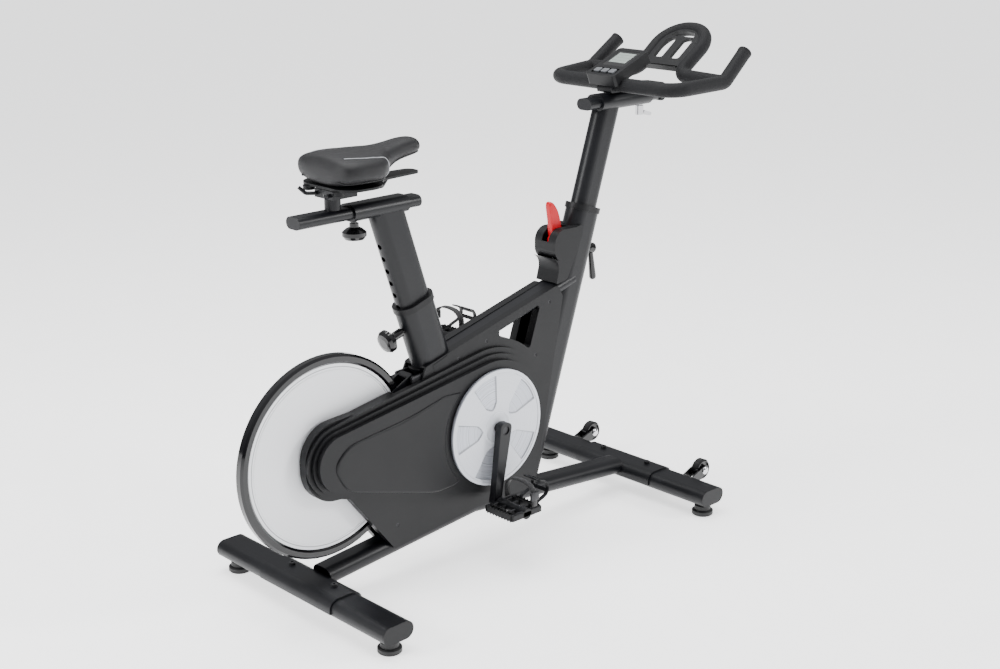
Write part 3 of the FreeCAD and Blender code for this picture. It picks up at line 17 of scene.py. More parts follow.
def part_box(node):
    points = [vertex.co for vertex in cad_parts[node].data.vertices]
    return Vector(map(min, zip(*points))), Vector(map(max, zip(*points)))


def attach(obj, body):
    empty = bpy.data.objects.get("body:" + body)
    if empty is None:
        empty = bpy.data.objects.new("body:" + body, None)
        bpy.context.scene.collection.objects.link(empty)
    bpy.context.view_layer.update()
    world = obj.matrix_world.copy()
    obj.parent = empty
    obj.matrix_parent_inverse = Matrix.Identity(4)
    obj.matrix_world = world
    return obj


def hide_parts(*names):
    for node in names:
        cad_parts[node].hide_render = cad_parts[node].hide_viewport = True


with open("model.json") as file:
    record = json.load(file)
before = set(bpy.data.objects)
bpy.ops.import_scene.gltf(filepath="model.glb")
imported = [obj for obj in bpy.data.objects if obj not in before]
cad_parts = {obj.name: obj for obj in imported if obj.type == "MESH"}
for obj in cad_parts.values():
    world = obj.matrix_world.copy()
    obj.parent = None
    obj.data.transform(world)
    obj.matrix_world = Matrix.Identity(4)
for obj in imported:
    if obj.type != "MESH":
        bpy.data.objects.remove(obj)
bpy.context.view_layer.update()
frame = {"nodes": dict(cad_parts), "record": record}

LOG = logging.getLogger("bike")
MM = 0.001
Point = tuple[float, float, float]
Knots = tuple[tuple[float, float], ...]
RUB_MARKS = "rub_marks"
# The part of a grain's tone that is spread over a finish's whole range.
TONE_FROM = 0.3
TONE_TO = 0.7
# Slow clouds and fine grain in a speckle's tone.
CLOUD_SCALE = 9.0
CLOUD_SHARE = 0.7
FINE_SHARE = 0.3
# Rounded cells: how far their slopes reach and how steep they are.
CELL_EDGE = 0.18
CELL_GAIN = 5.0
# Turned rings and the clouds over them.
RING_SHARE = 0.6
RING_CLOUD_SHARE = 0.4
# Rub marks: streaks stretched along X and Y, in patches.
RUB_STRETCH = (34.0, 20.0, 160.0)
RUB_PATCHES = 14.0
RUB_FROM = 0.33
RUB_TO = 0.48
RUB_DULLS = 0.12
# The fine groove: its colour and where its edge fades, in metres.
GROOVE_COLOUR = (0.30, 0.31, 0.33, 1.0)
GROOVE_CORE = 0.0006
GROOVE_EDGE = 0.0013


# ---------------------------------------------------------------- node graph helpers
class Graph:
    """A node tree with a short way to add nodes and wire them."""

    def __init__(self, tree: bpy.types.NodeTree) -> None:
        """Args: tree: the tree to fill."""
        self.tree = tree

    def add(self, kind: str, inputs: Optional[dict] = None, **settings: object) -> bpy.types.Node:
        """Adds a node.

        Args:
            kind: the node's type name.
            inputs: socket name or index to a value or to another node's output socket.
            settings: the node's own properties.

        Returns:
            The new node.
        """
        node = self.tree.nodes.new(kind)
        for name, value in settings.items():
            setattr(node, name, value)
        for key, value in (inputs or {}).items():
            socket = node.inputs[key]
            if isinstance(value, bpy.types.NodeSocket):
                self.tree.links.new(value, socket)
            else:
                socket.default_value = value
        return node

    def math(self, operation: str, first: object, second: object = 0.0) -> bpy.types.NodeSocket:
        """Returns the output of a Math node."""
        return self.add("ShaderNodeMath", {0: first, 1: second}, operation=operation).outputs[0]

    def link(self, source: bpy.types.NodeSocket, target: bpy.types.NodeSocket) -> None:
        """Wires two sockets."""
        self.tree.links.new(source, target)

    def radius_round_y(self, place: bpy.types.NodeSocket) -> bpy.types.NodeSocket:
        """Measures how far a place is from the Y axis.

        Args:
            place: the place's vector.

        Returns:
            The distance.
        """
        flat = self.add("ShaderNodeVectorMath", {0: place, 1: (1, 0, 1)}, operation="MULTIPLY")
        radius = self.add("ShaderNodeVectorMath", {0: flat.outputs["Vector"]}, operation="LENGTH")
        return radius.outputs["Value"]


class Grain(Enum):
    """The fine surface patterns that the finishes share."""

    POWDER = "powder_grain"
    MOULDED = "moulded_grain"
    LEATHER = "leather_grain"
    WEAVE = "web_weave"
    TURNED = "turned_lines"


def grain_tree(name: str) -> tuple[bpy.types.NodeTree, Graph, dict[str, bpy.types.NodeSocket]]:
    """Starts a shader group with the inputs and outputs that every grain has.

    Args:
        name: the group's name.

    Returns:
        The group, its graph, and its input sockets by name with the output node's sockets as out_NAME.
    """
    tree = bpy.data.node_groups.new(name, "ShaderNodeTree")
    face = tree.interface
    face.new_socket("Vector", in_out="INPUT", socket_type="NodeSocketVector")
    face.new_socket("Scale", in_out="INPUT", socket_type="NodeSocketFloat")
    face.new_socket("Tone", in_out="OUTPUT", socket_type="NodeSocketFloat")
    face.new_socket("Height", in_out="OUTPUT", socket_type="NodeSocketFloat")
    graph = Graph(tree)
    start, end = graph.add("NodeGroupInput"), graph.add("NodeGroupOutput")
    ports = {"Vector": start.outputs["Vector"], "Scale": start.outputs["Scale"],
             "out_tone": end.inputs["Tone"], "out_height": end.inputs["Height"]}
    return tree, graph, ports


def speckle_group(name: str, detail: float, cell: bool) -> bpy.types.NodeTree:
    """A random grain: fine bumps over slow clouds.

    Args:
        name: the group's name.
        detail: octaves of the fine noise.
        cell: whether the fine part is made of rounded cells instead of noise.

    Returns:
        The shader group.
    """
    tree, graph, port = grain_tree(name)
    clouds = graph.add("ShaderNodeTexNoise",
                       {"Vector": port["Vector"], "Scale": CLOUD_SCALE, "Detail": 3.0})
    if cell:
        fine = graph.add("ShaderNodeTexVoronoi", {"Vector": port["Vector"], "Scale": port["Scale"]},
                         feature="DISTANCE_TO_EDGE")
        height = graph.math("MINIMUM", fine.outputs["Distance"], CELL_EDGE)
        height = graph.math("MULTIPLY", height, CELL_GAIN)
    else:
        fine = graph.add("ShaderNodeTexNoise",
                         {"Vector": port["Vector"], "Scale": port["Scale"], "Detail": detail})
        height = fine.outputs["Fac"]
    mixed = graph.math("ADD", graph.math("MULTIPLY", clouds.outputs["Fac"], CLOUD_SHARE),
                       graph.math("MULTIPLY", height, FINE_SHARE))
    graph.link(mixed, port["out_tone"])
    graph.link(height, port["out_height"])
    return tree


def weave_group() -> bpy.types.NodeTree:
    """A plain weave: two crossed waves, one over the other.

    Returns:
        The shader group.
    """
    tree, graph, port = grain_tree(Grain.WEAVE.value)
    across, along = (graph.add("ShaderNodeTexWave", {"Vector": port["Vector"], "Scale": port["Scale"]},
                               bands_direction=way) for way in ("Y", "Z"))
    height = graph.math("MULTIPLY", across.outputs["Fac"], along.outputs["Fac"])
    graph.link(height, port["out_tone"])
    graph.link(height, port["out_height"])
    return tree


def turned_group() -> bpy.types.NodeTree:
    """Fine rings round the local Y axis, as a lathe leaves them.

    Returns:
        The shader group.
    """
    tree, graph, port = grain_tree(Grain.TURNED.value)
    radius = graph.radius_round_y(port["Vector"])
    rings = graph.add("ShaderNodeTexNoise", {"W": radius, "Scale": port["Scale"], "Detail": 4.0},
                      noise_dimensions="1D")
    clouds = graph.add("ShaderNodeTexNoise", {"Vector": port["Vector"], "Scale": 5.0, "Detail": 2.0})
    tone = graph.math("ADD", graph.math("MULTIPLY", rings.outputs["Fac"], RING_SHARE),
                      graph.math("MULTIPLY", clouds.outputs["Fac"], RING_CLOUD_SHARE))
    graph.link(tone, port["out_tone"])
    graph.link(rings.outputs["Fac"], port["out_height"])
    return tree


def wear_group() -> bpy.types.NodeTree:
    """Sparse, soft rub marks: near one, the surface is a little paler and duller.

    Returns:
        The shader group.
    """
    tree = bpy.data.node_groups.new(RUB_MARKS, "ShaderNodeTree")
    tree.interface.new_socket("Vector", in_out="INPUT", socket_type="NodeSocketVector")
    tree.interface.new_socket("Amount", in_out="INPUT", socket_type="NodeSocketFloat")
    tree.interface.new_socket("Mask", in_out="OUTPUT", socket_type="NodeSocketFloat")
    graph = Graph(tree)
    start, end = graph.add("NodeGroupInput"), graph.add("NodeGroupOutput")
    stretch = graph.add("ShaderNodeVectorMath", {0: start.outputs["Vector"], 1: RUB_STRETCH},
                        operation="MULTIPLY")
    streaks = graph.add("ShaderNodeTexNoise",
                        {"Vector": stretch.outputs["Vector"], "Scale": 1.0, "Detail": 5.0})
    patches = graph.add("ShaderNodeTexNoise",
                        {"Vector": start.outputs["Vector"], "Scale": RUB_PATCHES})
    both = graph.math("MULTIPLY", streaks.outputs["Fac"], patches.outputs["Fac"])
    sharp = graph.add("ShaderNodeMapRange", {"Value": both, "From Min": RUB_FROM, "From Max": RUB_TO})
    graph.link(graph.math("MULTIPLY", sharp.outputs["Result"], start.outputs["Amount"]), end.inputs["Mask"])
    return tree


class Groups:
    """The shader groups, each built once."""

    _made: dict[str, bpy.types.NodeTree] = {}

    @classmethod
    def get(cls, name: str) -> bpy.types.NodeTree:
        """Finds a shader group, and makes it the first time.

        Args:
            name: the group's name.

        Returns:
            The group.
        """
        makers: dict[str, Callable[[], bpy.types.NodeTree]] = {
            Grain.POWDER.value: lambda: speckle_group(Grain.POWDER.value, 3.0, False),
            Grain.MOULDED.value: lambda: speckle_group(Grain.MOULDED.value, 6.0, False),
            Grain.LEATHER.value: lambda: speckle_group(Grain.LEATHER.value, 0.0, True),
            Grain.WEAVE.value: weave_group,
            Grain.TURNED.value: turned_group,
            RUB_MARKS: wear_group,
        }
        if name not in cls._made:
            cls._made[name] = makers[name]()
        return cls._made[name]


# ---------------------------------------------------------------- finishes
@dataclass(frozen=True)
class Finish:
    """One surface finish: its colours, gloss and fine pattern."""

    name: str
    slot: str
    dark: Point
    pale: Point
    roughness: tuple[float, float] = (0.4, 0.55)
    grain: Grain = Grain.MOULDED
    scale: float = 900.0
    depth: float = 0.00004
    metallic: float = 0.0
    coat: float = 0.0
    specular: float = 0.5
    sheen: float = 0.0
    rub: float = 0.0
    centre: Point = (0.0, 0.0, 0.0)
    groove: float = 0.0

    def material(self) -> bpy.types.Material:
        """Makes the material the first time it is asked for.

        Returns:
            The material.
        """
        made = bpy.data.materials.get(self.name)
        if made:
            return made
        made = bpy.data.materials.new(self.name)
        made.use_nodes = True
        made.node_tree.nodes.clear()
        graph = Graph(made.node_tree)
        place = graph.add("ShaderNodeTexCoord").outputs["Object"]
        place = graph.add("ShaderNodeMapping",
                          {"Vector": place, "Location": [-v for v in self.centre]}).outputs[0]
        pattern = graph.add("ShaderNodeGroup", node_tree=Groups.get(self.grain.value))
        graph.link(place, pattern.inputs["Vector"])
        pattern.inputs["Scale"].default_value = self.scale
        rub = graph.add("ShaderNodeGroup", node_tree=Groups.get(RUB_MARKS))
        graph.link(place, rub.inputs["Vector"])
        rub.inputs["Amount"].default_value = self.rub
        spread = {"Value": pattern.outputs["Tone"], "From Min": TONE_FROM, "From Max": TONE_TO}
        tone = graph.add("ShaderNodeMapRange", spread)
        colour = graph.add("ShaderNodeMix", {"Factor": tone.outputs["Result"], "A": (*self.dark, 1.0),
                                             "B": (*self.pale, 1.0)}, data_type="RGBA")
        worn = [min(1.0, c * 1.25 + 0.04) for c in self.pale]
        rubbed = graph.add("ShaderNodeMix", {"Factor": rub.outputs["Mask"], "B": (*worn, 1.0)},
                           data_type="RGBA")
        base = colour.outputs["Result"]
        if self.groove:
            base = self.grooved(graph, place, base)
        graph.link(base, rubbed.inputs["A"])
        low, high = self.roughness
        rough = graph.add("ShaderNodeMapRange", {**spread, "To Min": low, "To Max": high})
        duller = graph.math("ADD", rough.outputs["Result"],
                            graph.math("MULTIPLY", rub.outputs["Mask"], RUB_DULLS))
        bump = graph.add("ShaderNodeBump", {"Height": pattern.outputs["Height"], "Distance": self.depth})
        shader = graph.add("ShaderNodeBsdfPrincipled", {
            "Base Color": rubbed.outputs["Result"], "Roughness": duller, "Normal": bump.outputs["Normal"],
            "Metallic": self.metallic, "Coat Weight": self.coat, "Coat Roughness": 0.08,
            "Specular IOR Level": self.specular, "Sheen Weight": self.sheen, "Sheen Roughness": 0.5})
        output = graph.add("ShaderNodeOutputMaterial")
        graph.link(shader.outputs["BSDF"], output.inputs["Surface"])
        return made

    def grooved(self, graph: Graph, place: bpy.types.NodeSocket,
                colour: bpy.types.NodeSocket) -> bpy.types.NodeSocket:
        """Darkens a fine circle round the centre's Y axis.

        Args:
            graph: the material's graph.
            place: the place from the centre.
            colour: the colour so far.

        Returns:
            The new colour.
        """
        off = graph.math("ABSOLUTE", graph.math("SUBTRACT", graph.radius_round_y(place), self.groove))
        line = graph.add("ShaderNodeMapRange", {"Value": off, "From Min": GROOVE_CORE,
                                                "From Max": GROOVE_EDGE, "To Min": 1.0, "To Max": 0.0})
        dark = graph.add("ShaderNodeMix", {"Factor": line.outputs["Result"], "B": GROOVE_COLOUR},
                         data_type="RGBA")
        graph.link(colour, dark.inputs["A"])
        return dark.outputs["Result"]


def middle_of(node: str) -> Vector:
    """Returns the middle of a node's box."""
    low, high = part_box(node)
    return (low + high) / 2


def joint_place(name: str) -> Vector:
    """Returns the point that a joint's axis passes through."""
    joints = frame["record"]["behaviour"]["joints"]
    return Vector(next(joint["pos_m"] for joint in joints if joint["name"] == name))


FLYWHEEL_CENTRE: Point = tuple(middle_of("flywheel_disc"))
CRANK_CENTRE: Point = tuple(middle_of("crank_spindle"))


class Finishes:
    """Every finish of the bike."""

    powder = Finish("satin_black_powder_coat", "frame_black", (0.0018, 0.002, 0.003), (0.0038, 0.0042, 0.006),
                    (0.34, 0.44), Grain.POWDER, 1500.0, 0.00003, specular=0.30, rub=0.03)
    plastic = Finish("fine_textured_black_plastic", "black_plastic", (0.0016, 0.0017, 0.0024),
                     (0.0032, 0.0034, 0.0044), (0.38, 0.5), Grain.MOULDED, 1900.0, 0.00004,
                     specular=0.26, rub=0.02)
    gloss = Finish("polished_black_moulding", "gloss_black", (0.0015, 0.0015, 0.002), (0.003, 0.003, 0.0036),
                   (0.10, 0.18), Grain.MOULDED, 300.0, 0.00001, specular=0.4, coat=0.2, rub=0.1)
    rim = Finish("glossy_black_rim_enamel", "rim_black", (0.0015, 0.0015, 0.002), (0.003, 0.003, 0.004),
                 (0.08, 0.14), Grain.TURNED, 700.0, 0.00001, specular=0.35, coat=0.25, centre=FLYWHEEL_CENTRE)
    disc = Finish("satin_white_flywheel_face", "disc_white", (0.80, 0.81, 0.835), (0.87, 0.88, 0.90),
                  (0.38, 0.48), Grain.TURNED, 420.0, 0.00002, centre=FLYWHEEL_CENTRE,
                  groove=0.1985)
    crank_cover = Finish("silver_white_crank_cover", "disc_cover", (0.60, 0.62, 0.67), (0.70, 0.72, 0.77),
                         (0.30, 0.40), Grain.TURNED, 380.0, 0.00002, centre=CRANK_CENTRE)
    # Painted shade: the crank windows' floors are a darker, slightly more metallic silver and their walls
    # darker still, standing in for shade in the sunken windows.
    crank_window_painted_shade = Finish("painted_shade_crank_window", "disc_cover", (0.40, 0.42, 0.47), (0.52, 0.54, 0.59),
                          (0.24, 0.34), Grain.TURNED, 380.0, 0.00003, metallic=0.35, centre=CRANK_CENTRE)
    crank_step_painted_shade = Finish("shaded_crank_step", "disc_cover", (0.24, 0.25, 0.28), (0.34, 0.35, 0.38),
                        (0.3, 0.4), Grain.TURNED, 380.0, 0.00002, centre=CRANK_CENTRE)
    steel = Finish("zinc_plated_steel", "steel", (0.36, 0.36, 0.37), (0.52, 0.52, 0.54),
                   (0.25, 0.42), Grain.MOULDED, 500.0, 0.00002, metallic=1.0, rub=0.3)
    dark_steel = Finish("blackened_steel", "steel", (0.02, 0.02, 0.022), (0.035, 0.035, 0.038),
                        (0.3, 0.42), Grain.MOULDED, 500.0, 0.00002, metallic=0.6, rub=0.3)
    chrome = Finish("polished_chrome", "chrome", (0.62, 0.62, 0.64), (0.74, 0.74, 0.76),
                    (0.06, 0.14), Grain.MOULDED, 200.0, 0.000004, metallic=1.0, rub=0.2)
    cast = Finish("machined_dark_iron", "cast", (0.10, 0.10, 0.11), (0.16, 0.16, 0.17),
                  (0.35, 0.5), Grain.TURNED, 500.0, 0.00004, metallic=0.9, centre=FLYWHEEL_CENTRE)
    belt = Finish("ribbed_belt_rubber", "belt_rubber", (0.013, 0.013, 0.013), (0.024, 0.024, 0.024),
                  (0.6, 0.75), Grain.MOULDED, 1200.0, 0.00008)
    foot = Finish("moulded_foot_rubber", "foot_rubber", (0.003, 0.003, 0.0035), (0.007, 0.007, 0.008),
                  (0.5, 0.66), Grain.MOULDED, 900.0, 0.00008, rub=0.2)
    foam = Finish("closed_cell_foam", "foam", (0.0022, 0.0023, 0.003), (0.0050, 0.0052, 0.0066),
                  (0.58, 0.72), Grain.LEATHER, 700.0, 0.00012, specular=0.22, sheen=0.04)
    red = Finish("satin_red_moulding", "lever_red", (0.42, 0.0008, 0.006), (0.52, 0.0014, 0.009),
                 (0.3, 0.4), Grain.MOULDED, 700.0, 0.00002, specular=0.3)
    leather = Finish("black_saddle_skin", "saddle_skin", (0.0018, 0.0018, 0.0026), (0.0042, 0.0042, 0.0056),
                     (0.38, 0.52), Grain.LEATHER, 620.0, 0.00016, specular=0.32, sheen=0.02, rub=0.05)
    piping = Finish("pale_grey_piping", "saddle_skin", (0.34, 0.35, 0.37), (0.48, 0.49, 0.51),
                    (0.4, 0.55), Grain.WEAVE, 500.0, 0.0001)
    thread = Finish("waxed_black_thread", "saddle_skin", (0.02, 0.02, 0.022), (0.05, 0.05, 0.055),
                    (0.5, 0.65), Grain.WEAVE, 900.0, 0.00005)
    webbing = Finish("black_strap_webbing", "strap_web", (0.003, 0.003, 0.0036), (0.010, 0.010, 0.012),
                     (0.7, 0.85), Grain.WEAVE, 260.0, 0.0003, sheen=0.1)
    screen = Finish("grey_green_display", "screen", (0.23, 0.27, 0.25), (0.30, 0.34, 0.315),
                    (0.16, 0.24), Grain.MOULDED, 60.0, 0.000004, coat=0.5)
    marks = Finish("display_marks", "screen", (0.05, 0.06, 0.055), (0.08, 0.09, 0.085),
                   (0.3, 0.4), Grain.MOULDED, 200.0, 0.000004)
    keys = Finish("pale_grey_keys", "key_plastic", (0.10, 0.105, 0.115), (0.15, 0.155, 0.165),
                  (0.35, 0.45), Grain.MOULDED, 800.0, 0.00002)


# ---------------------------------------------------------------- mesh helpers
def new_piece(name: str, mesh: bpy.types.Mesh, finish: Finish, body: str,
              smooth: bool = True) -> bpy.types.Object:
    """Puts a mesh in the scene as a finished piece.

    Args:
        name: the piece's name.
        mesh: its mesh, already in place.
        finish: the finish that covers it.
        body: the CAD body it moves with.
        smooth: whether its faces are shaded smooth.

    Returns:
        The new object.
    """
    piece = bpy.data.objects.new(name, mesh)
    bpy.context.scene.collection.objects.link(piece)
    if not mesh.materials:
        mesh.materials.append(finish.material())
    for face in mesh.polygons:
        face.use_smooth = smooth
    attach(piece, body)
    LOG.info("%s on %s, %d faces", name, body, len(mesh.polygons))
    return piece


def mesh_of(name: str, points: Sequence[Sequence[float]], faces: Sequence[Sequence[int]]) -> bpy.types.Mesh:
    """Makes a mesh, merges its doubles and turns its faces outwards.

    Args:
        name: the mesh's name.
        points: its corners.
        faces: the corners of each face, by number.

    Returns:
        The mesh.
    """
    mesh = bpy.data.meshes.new(name)
    mesh.from_pydata([tuple(p) for p in points], [], [tuple(f) for f in faces])
    work = bmesh.new()
    work.from_mesh(mesh)
    bmesh.ops.remove_doubles(work, verts=work.verts, dist=1e-6)
    bmesh.ops.recalc_face_normals(work, faces=work.faces)
    work.to_mesh(mesh)
    work.free()
    return mesh


def lofted(name: str, rings: Sequence[Sequence[Vector]], closed: bool = False) -> bpy.types.Mesh:
    """Skins a row of closed rings.

    Args:
        name: the mesh's name.
        rings: the rings, all with the same number of points.
        closed: whether the last ring joins the first; if not, each end gets a cap.

    Returns:
        The mesh.
    """
    count, points, faces = len(rings[0]), [p for ring in rings for p in ring], []
    for index in range(len(rings) - (0 if closed else 1)):
        here, there = index * count, (index + 1) % len(rings) * count
        for k in range(count):
            after = (k + 1) % count
            faces.append((here + k, here + after, there + after, there + k))
    if not closed:
        for base in (0, (len(rings) - 1) * count):
            middle = len(points)
            points.append(sum((Vector(points[base + k]) for k in range(count)), Vector()) / count)
            faces += [(base + k, base + (k + 1) % count, middle) for k in range(count)]
    return mesh_of(name, points, faces)


def softened(mesh: bpy.types.Mesh, width: float, segments: int = 3, divide: int = 0) -> bpy.types.Mesh:
    """Bevels a mesh's edges and subdivides it.

    Args:
        mesh: the mesh to start from.
        width: the bevel's width, or 0 for none.
        segments: faces across the bevel.
        divide: levels of subdivision, or 0 for none.

    Returns:
        A new mesh with the same name.
    """
    holder = bpy.data.objects.new("holder", mesh)
    bpy.context.scene.collection.objects.link(holder)
    if width > 0:
        bevel = holder.modifiers.new("bevel", "BEVEL")
        bevel.width, bevel.segments, bevel.limit_method = width, segments, "ANGLE"
    if divide:
        smooth = holder.modifiers.new("smooth", "SUBSURF")
        smooth.levels = smooth.render_levels = divide
    result = bpy.data.meshes.new_from_object(holder.evaluated_get(bpy.context.evaluated_depsgraph_get()))
    bpy.data.objects.remove(holder)
    result.name = mesh.name
    return result


def joined(name: str, meshes: Iterable[bpy.types.Mesh]) -> bpy.types.Mesh:
    """Joins several meshes into one that keeps their materials.

    Args:
        name: the new mesh's name.
        meshes: the meshes to join.

    Returns:
        The new mesh.
    """
    work, order = bmesh.new(), []
    for mesh in meshes:
        start = len(work.faces)
        work.from_mesh(mesh)
        work.faces.ensure_lookup_table()
        for face in work.faces[start:]:
            material = mesh.materials[face.material_index] if mesh.materials else None
            if material not in order:
                order.append(material)
            face.material_index = order.index(material)
    result = bpy.data.meshes.new(name)
    work.to_mesh(result)
    work.free()
    for material in order:
        if material:
            result.materials.append(material)
    return result


def revolved(name: str, profile: Sequence[tuple[float, float]], place: Matrix, steps: int = 64,
             lobes: int = 0, lobe_deep: float = 0.0) -> bpy.types.Mesh:
    """Turns a (radius, height) profile about the place's Z axis.

    Args:
        name: the mesh's name.
        profile: open profile whose ends lie on or near the axis.
        place: the axis's frame.
        steps: points round the axis.
        lobes: number of flutes round the outside.
        lobe_deep: how deep the flutes are, as a share of the radius.

    Returns:
        The mesh.
    """
    rings = []
    for radius, height in profile:
        ring = []
        for step in range(steps):
            angle = 2 * math.pi * step / steps
            reach = radius * (1 - lobe_deep * (0.5 - 0.5 * math.cos(lobes * angle)))
            ring.append(place @ Vector((reach * math.cos(angle), reach * math.sin(angle), height)))
        rings.append(ring)
    return lofted(name, rings)


def frame_along(axis: Vector, origin: Vector) -> Matrix:
    """Returns a frame at the origin whose Z is the axis."""
    return Matrix.Translation(origin) @ axis.normalized().to_track_quat("Z", "Y").to_matrix().to_4x4()


def strip_mesh(name: str, path: Sequence[Vector], across: Vector, wide: float, thick: float,
               closed: bool = False) -> bpy.types.Mesh:
    """A flat strip bent along a path, its width along `across`.

    Args:
        name: the mesh's name.
        path: points of its centre line.
        across: direction of its width.
        wide: its width.
        thick: its thickness.
        closed: whether the path joins up.

    Returns:
        The mesh.
    """
    rings, count = [], len(path)
    for index, spot in enumerate(path):
        before = path[index - 1] if index or closed else path[0]
        after = path[(index + 1) % count] if index + 1 < count or closed else path[-1]
        way = (after - before).normalized()
        up = way.cross(across).normalized() * thick / 2
        side = across.normalized() * wide / 2
        rings.append([spot - side - up, spot + side - up, spot + side + up, spot - side + up])
    return lofted(name, rings, closed)


def rounded_path(corners: Sequence[Vector], radius: float, steps: int = 6) -> list[Vector]:
    """Rounds the inner corners of a path with quadratic arcs.

    Args:
        corners: the path's corners.
        radius: how far from its corner an arc starts, at most.
        steps: runs in each arc.

    Returns:
        The path's points.
    """
    path = [corners[0]]
    for before, corner, after in zip(corners, corners[1:], corners[2:]):
        back = min(radius, (before - corner).length * 0.45, (after - corner).length * 0.45)
        start = corner + (before - corner).normalized() * back
        end = corner + (after - corner).normalized() * back
        for step in range(steps + 1):
            t = step / steps
            path.append(start * (1 - t) ** 2 + corner * 2 * t * (1 - t) + end * t ** 2)
    path.append(corners[-1])
    return path


# ---------------------------------------------------------------- geometry node trees
class NodeMaker:
    """Runs a geometry node tree on a small source mesh and returns the plain result."""

    def __init__(self, name: str) -> None:
        """Args: name: the tree's name."""
        self.tree = bpy.data.node_groups.new(name, "GeometryNodeTree")
        self.tree.interface.new_socket("Geometry", in_out="INPUT", socket_type="NodeSocketGeometry")
        self.graph = Graph(self.tree)
        self.sockets: dict[str, str] = {}

    def size(self, name: str, value: float, kind: str = "NodeSocketFloat") -> None:
        """Adds a named input.

        Args:
            name: the input's name.
            value: its usual value.
            kind: its socket type.
        """
        socket = self.tree.interface.new_socket(name, in_out="INPUT", socket_type=kind)
        socket.default_value = value
        self.sockets[name] = socket.identifier

    def begin(self) -> bpy.types.Node:
        """Adds the input node, once every input is named, and returns it."""
        return self.graph.add("NodeGroupInput")

    def end(self, geometry: bpy.types.NodeSocket, finish: Finish) -> None:
        """Ends the tree in Realize Instances and Set Material.

        Args:
            geometry: what the tree has made.
            finish: the finish that covers it.
        """
        self.tree.interface.new_socket("Geometry", in_out="OUTPUT", socket_type="NodeSocketGeometry")
        real = self.graph.add("GeometryNodeRealizeInstances", {"Geometry": geometry})
        dressed = self.graph.add("GeometryNodeSetMaterial", {"Geometry": real.outputs[0],
                                                             "Material": finish.material()})
        out = self.graph.add("NodeGroupOutput")
        self.graph.link(dressed.outputs[0], out.inputs[0])

    def run(self, source: bpy.types.Mesh, **sizes: float) -> bpy.types.Mesh:
        """Applies the tree to a source mesh.

        Args:
            source: the mesh the tree starts from.
            sizes: values of named inputs.

        Returns:
            The resulting mesh.
        """
        holder = bpy.data.objects.new("holder", source)
        bpy.context.scene.collection.objects.link(holder)
        modifier = holder.modifiers.new("nodes", "NODES")
        modifier.node_group = self.tree
        for name, value in sizes.items():
            modifier[self.sockets[name]] = value
        result = bpy.data.meshes.new_from_object(holder.evaluated_get(bpy.context.evaluated_depsgraph_get()))
        holder.modifiers.remove(modifier)
        bpy.data.objects.remove(holder)
        return result


def cord_maker(name: str, finish: Finish) -> NodeMaker:
    """A tree that skins a line of edges as a round cord.

    Args:
        name: the tree's name.
        finish: the cord's finish.

    Returns:
        The tree's maker.
    """
    maker = NodeMaker(name)
    maker.size("Radius", 0.0012)
    start, graph = maker.begin(), maker.graph
    line = graph.add("GeometryNodeMeshToCurve", {"Mesh": start.outputs["Geometry"]})
    ring = graph.add("GeometryNodeCurvePrimitiveCircle",
                     {"Resolution": 10, "Radius": start.outputs["Radius"]})
    skin = graph.add("GeometryNodeCurveToMesh", {"Curve": line.outputs[0],
                                                 "Profile Curve": ring.outputs[0], "Fill Caps": True})
    maker.end(skin.outputs[0], finish)
    return maker


def stitch_maker(name: str, finish: Finish) -> NodeMaker:
    """A tree that lays a row of stitches along a line of edges.

    Args:
        name: the tree's name.
        finish: the thread's finish.

    Returns:
        The tree's maker.
    """
    maker = NodeMaker(name)
    maker.size("Pitch", 0.0048)
    maker.size("Thread", 0.0005)
    maker.size("Length", 0.0034)
    start, graph = maker.begin(), maker.graph
    line = graph.add("GeometryNodeMeshToCurve", {"Mesh": start.outputs["Geometry"]})
    spots = graph.add("GeometryNodeCurveToPoints",
                      {"Curve": line.outputs[0], "Length": start.outputs["Pitch"]}, mode="LENGTH")
    stitch = graph.add("GeometryNodeMeshCylinder", {"Vertices": 8, "Radius": start.outputs["Thread"],
                                                    "Depth": start.outputs["Length"]})
    turn = graph.add("FunctionNodeAlignRotationToVector", {"Vector": spots.outputs["Tangent"]}, axis="Z")
    copies = graph.add("GeometryNodeInstanceOnPoints", {"Points": spots.outputs["Points"],
                                                        "Instance": stitch.outputs["Mesh"],
                                                        "Rotation": turn.outputs["Rotation"]})
    maker.end(copies.outputs[0], finish)
    return maker


def line_mesh(name: str, points: Sequence[Vector], closed: bool = False) -> bpy.types.Mesh:
    """Makes a mesh of bare edges.

    Args:
        name: the mesh's name.
        points: the points that the edges join.
        closed: whether the last point joins the first.

    Returns:
        The mesh.
    """
    edges = [(k, k + 1) for k in range(len(points) - 1)]
    if closed:
        edges.append((len(points) - 1, 0))
    mesh = bpy.data.meshes.new(name)
    mesh.from_pydata([tuple(p) for p in points], edges, [])
    return mesh


def eased(knots: Knots, at: float) -> float:
    """Follows a smooth curve through knots.

    Args:
        knots: each knot's place and value, in order of place.
        at: the place asked for.

    Returns:
        The curve's value there.
    """
    if at <= knots[0][0]:
        return knots[0][1]
    for index in range(len(knots) - 1):
        (x0, y0), (x1, y1) = knots[index], knots[index + 1]
        if at <= x1:
            before = knots[index - 1] if index else (x0 - (x1 - x0), y0)
            after = knots[index + 2] if index + 2 < len(knots) else (x1 + (x1 - x0), y1)
            m0 = (y1 - before[1]) / (x1 - before[0]) * (x1 - x0)
            m1 = (after[1] - y0) / (after[0] - x0) * (x1 - x0)
            t = (at - x0) / (x1 - x0)
            return ((2 * t ** 3 - 3 * t ** 2 + 1) * y0 + (t ** 3 - 2 * t ** 2 + t) * m0
                    + (-2 * t ** 3 + 3 * t ** 2) * y1 + (t ** 3 - t ** 2) * m1)
    return knots[-1][1]


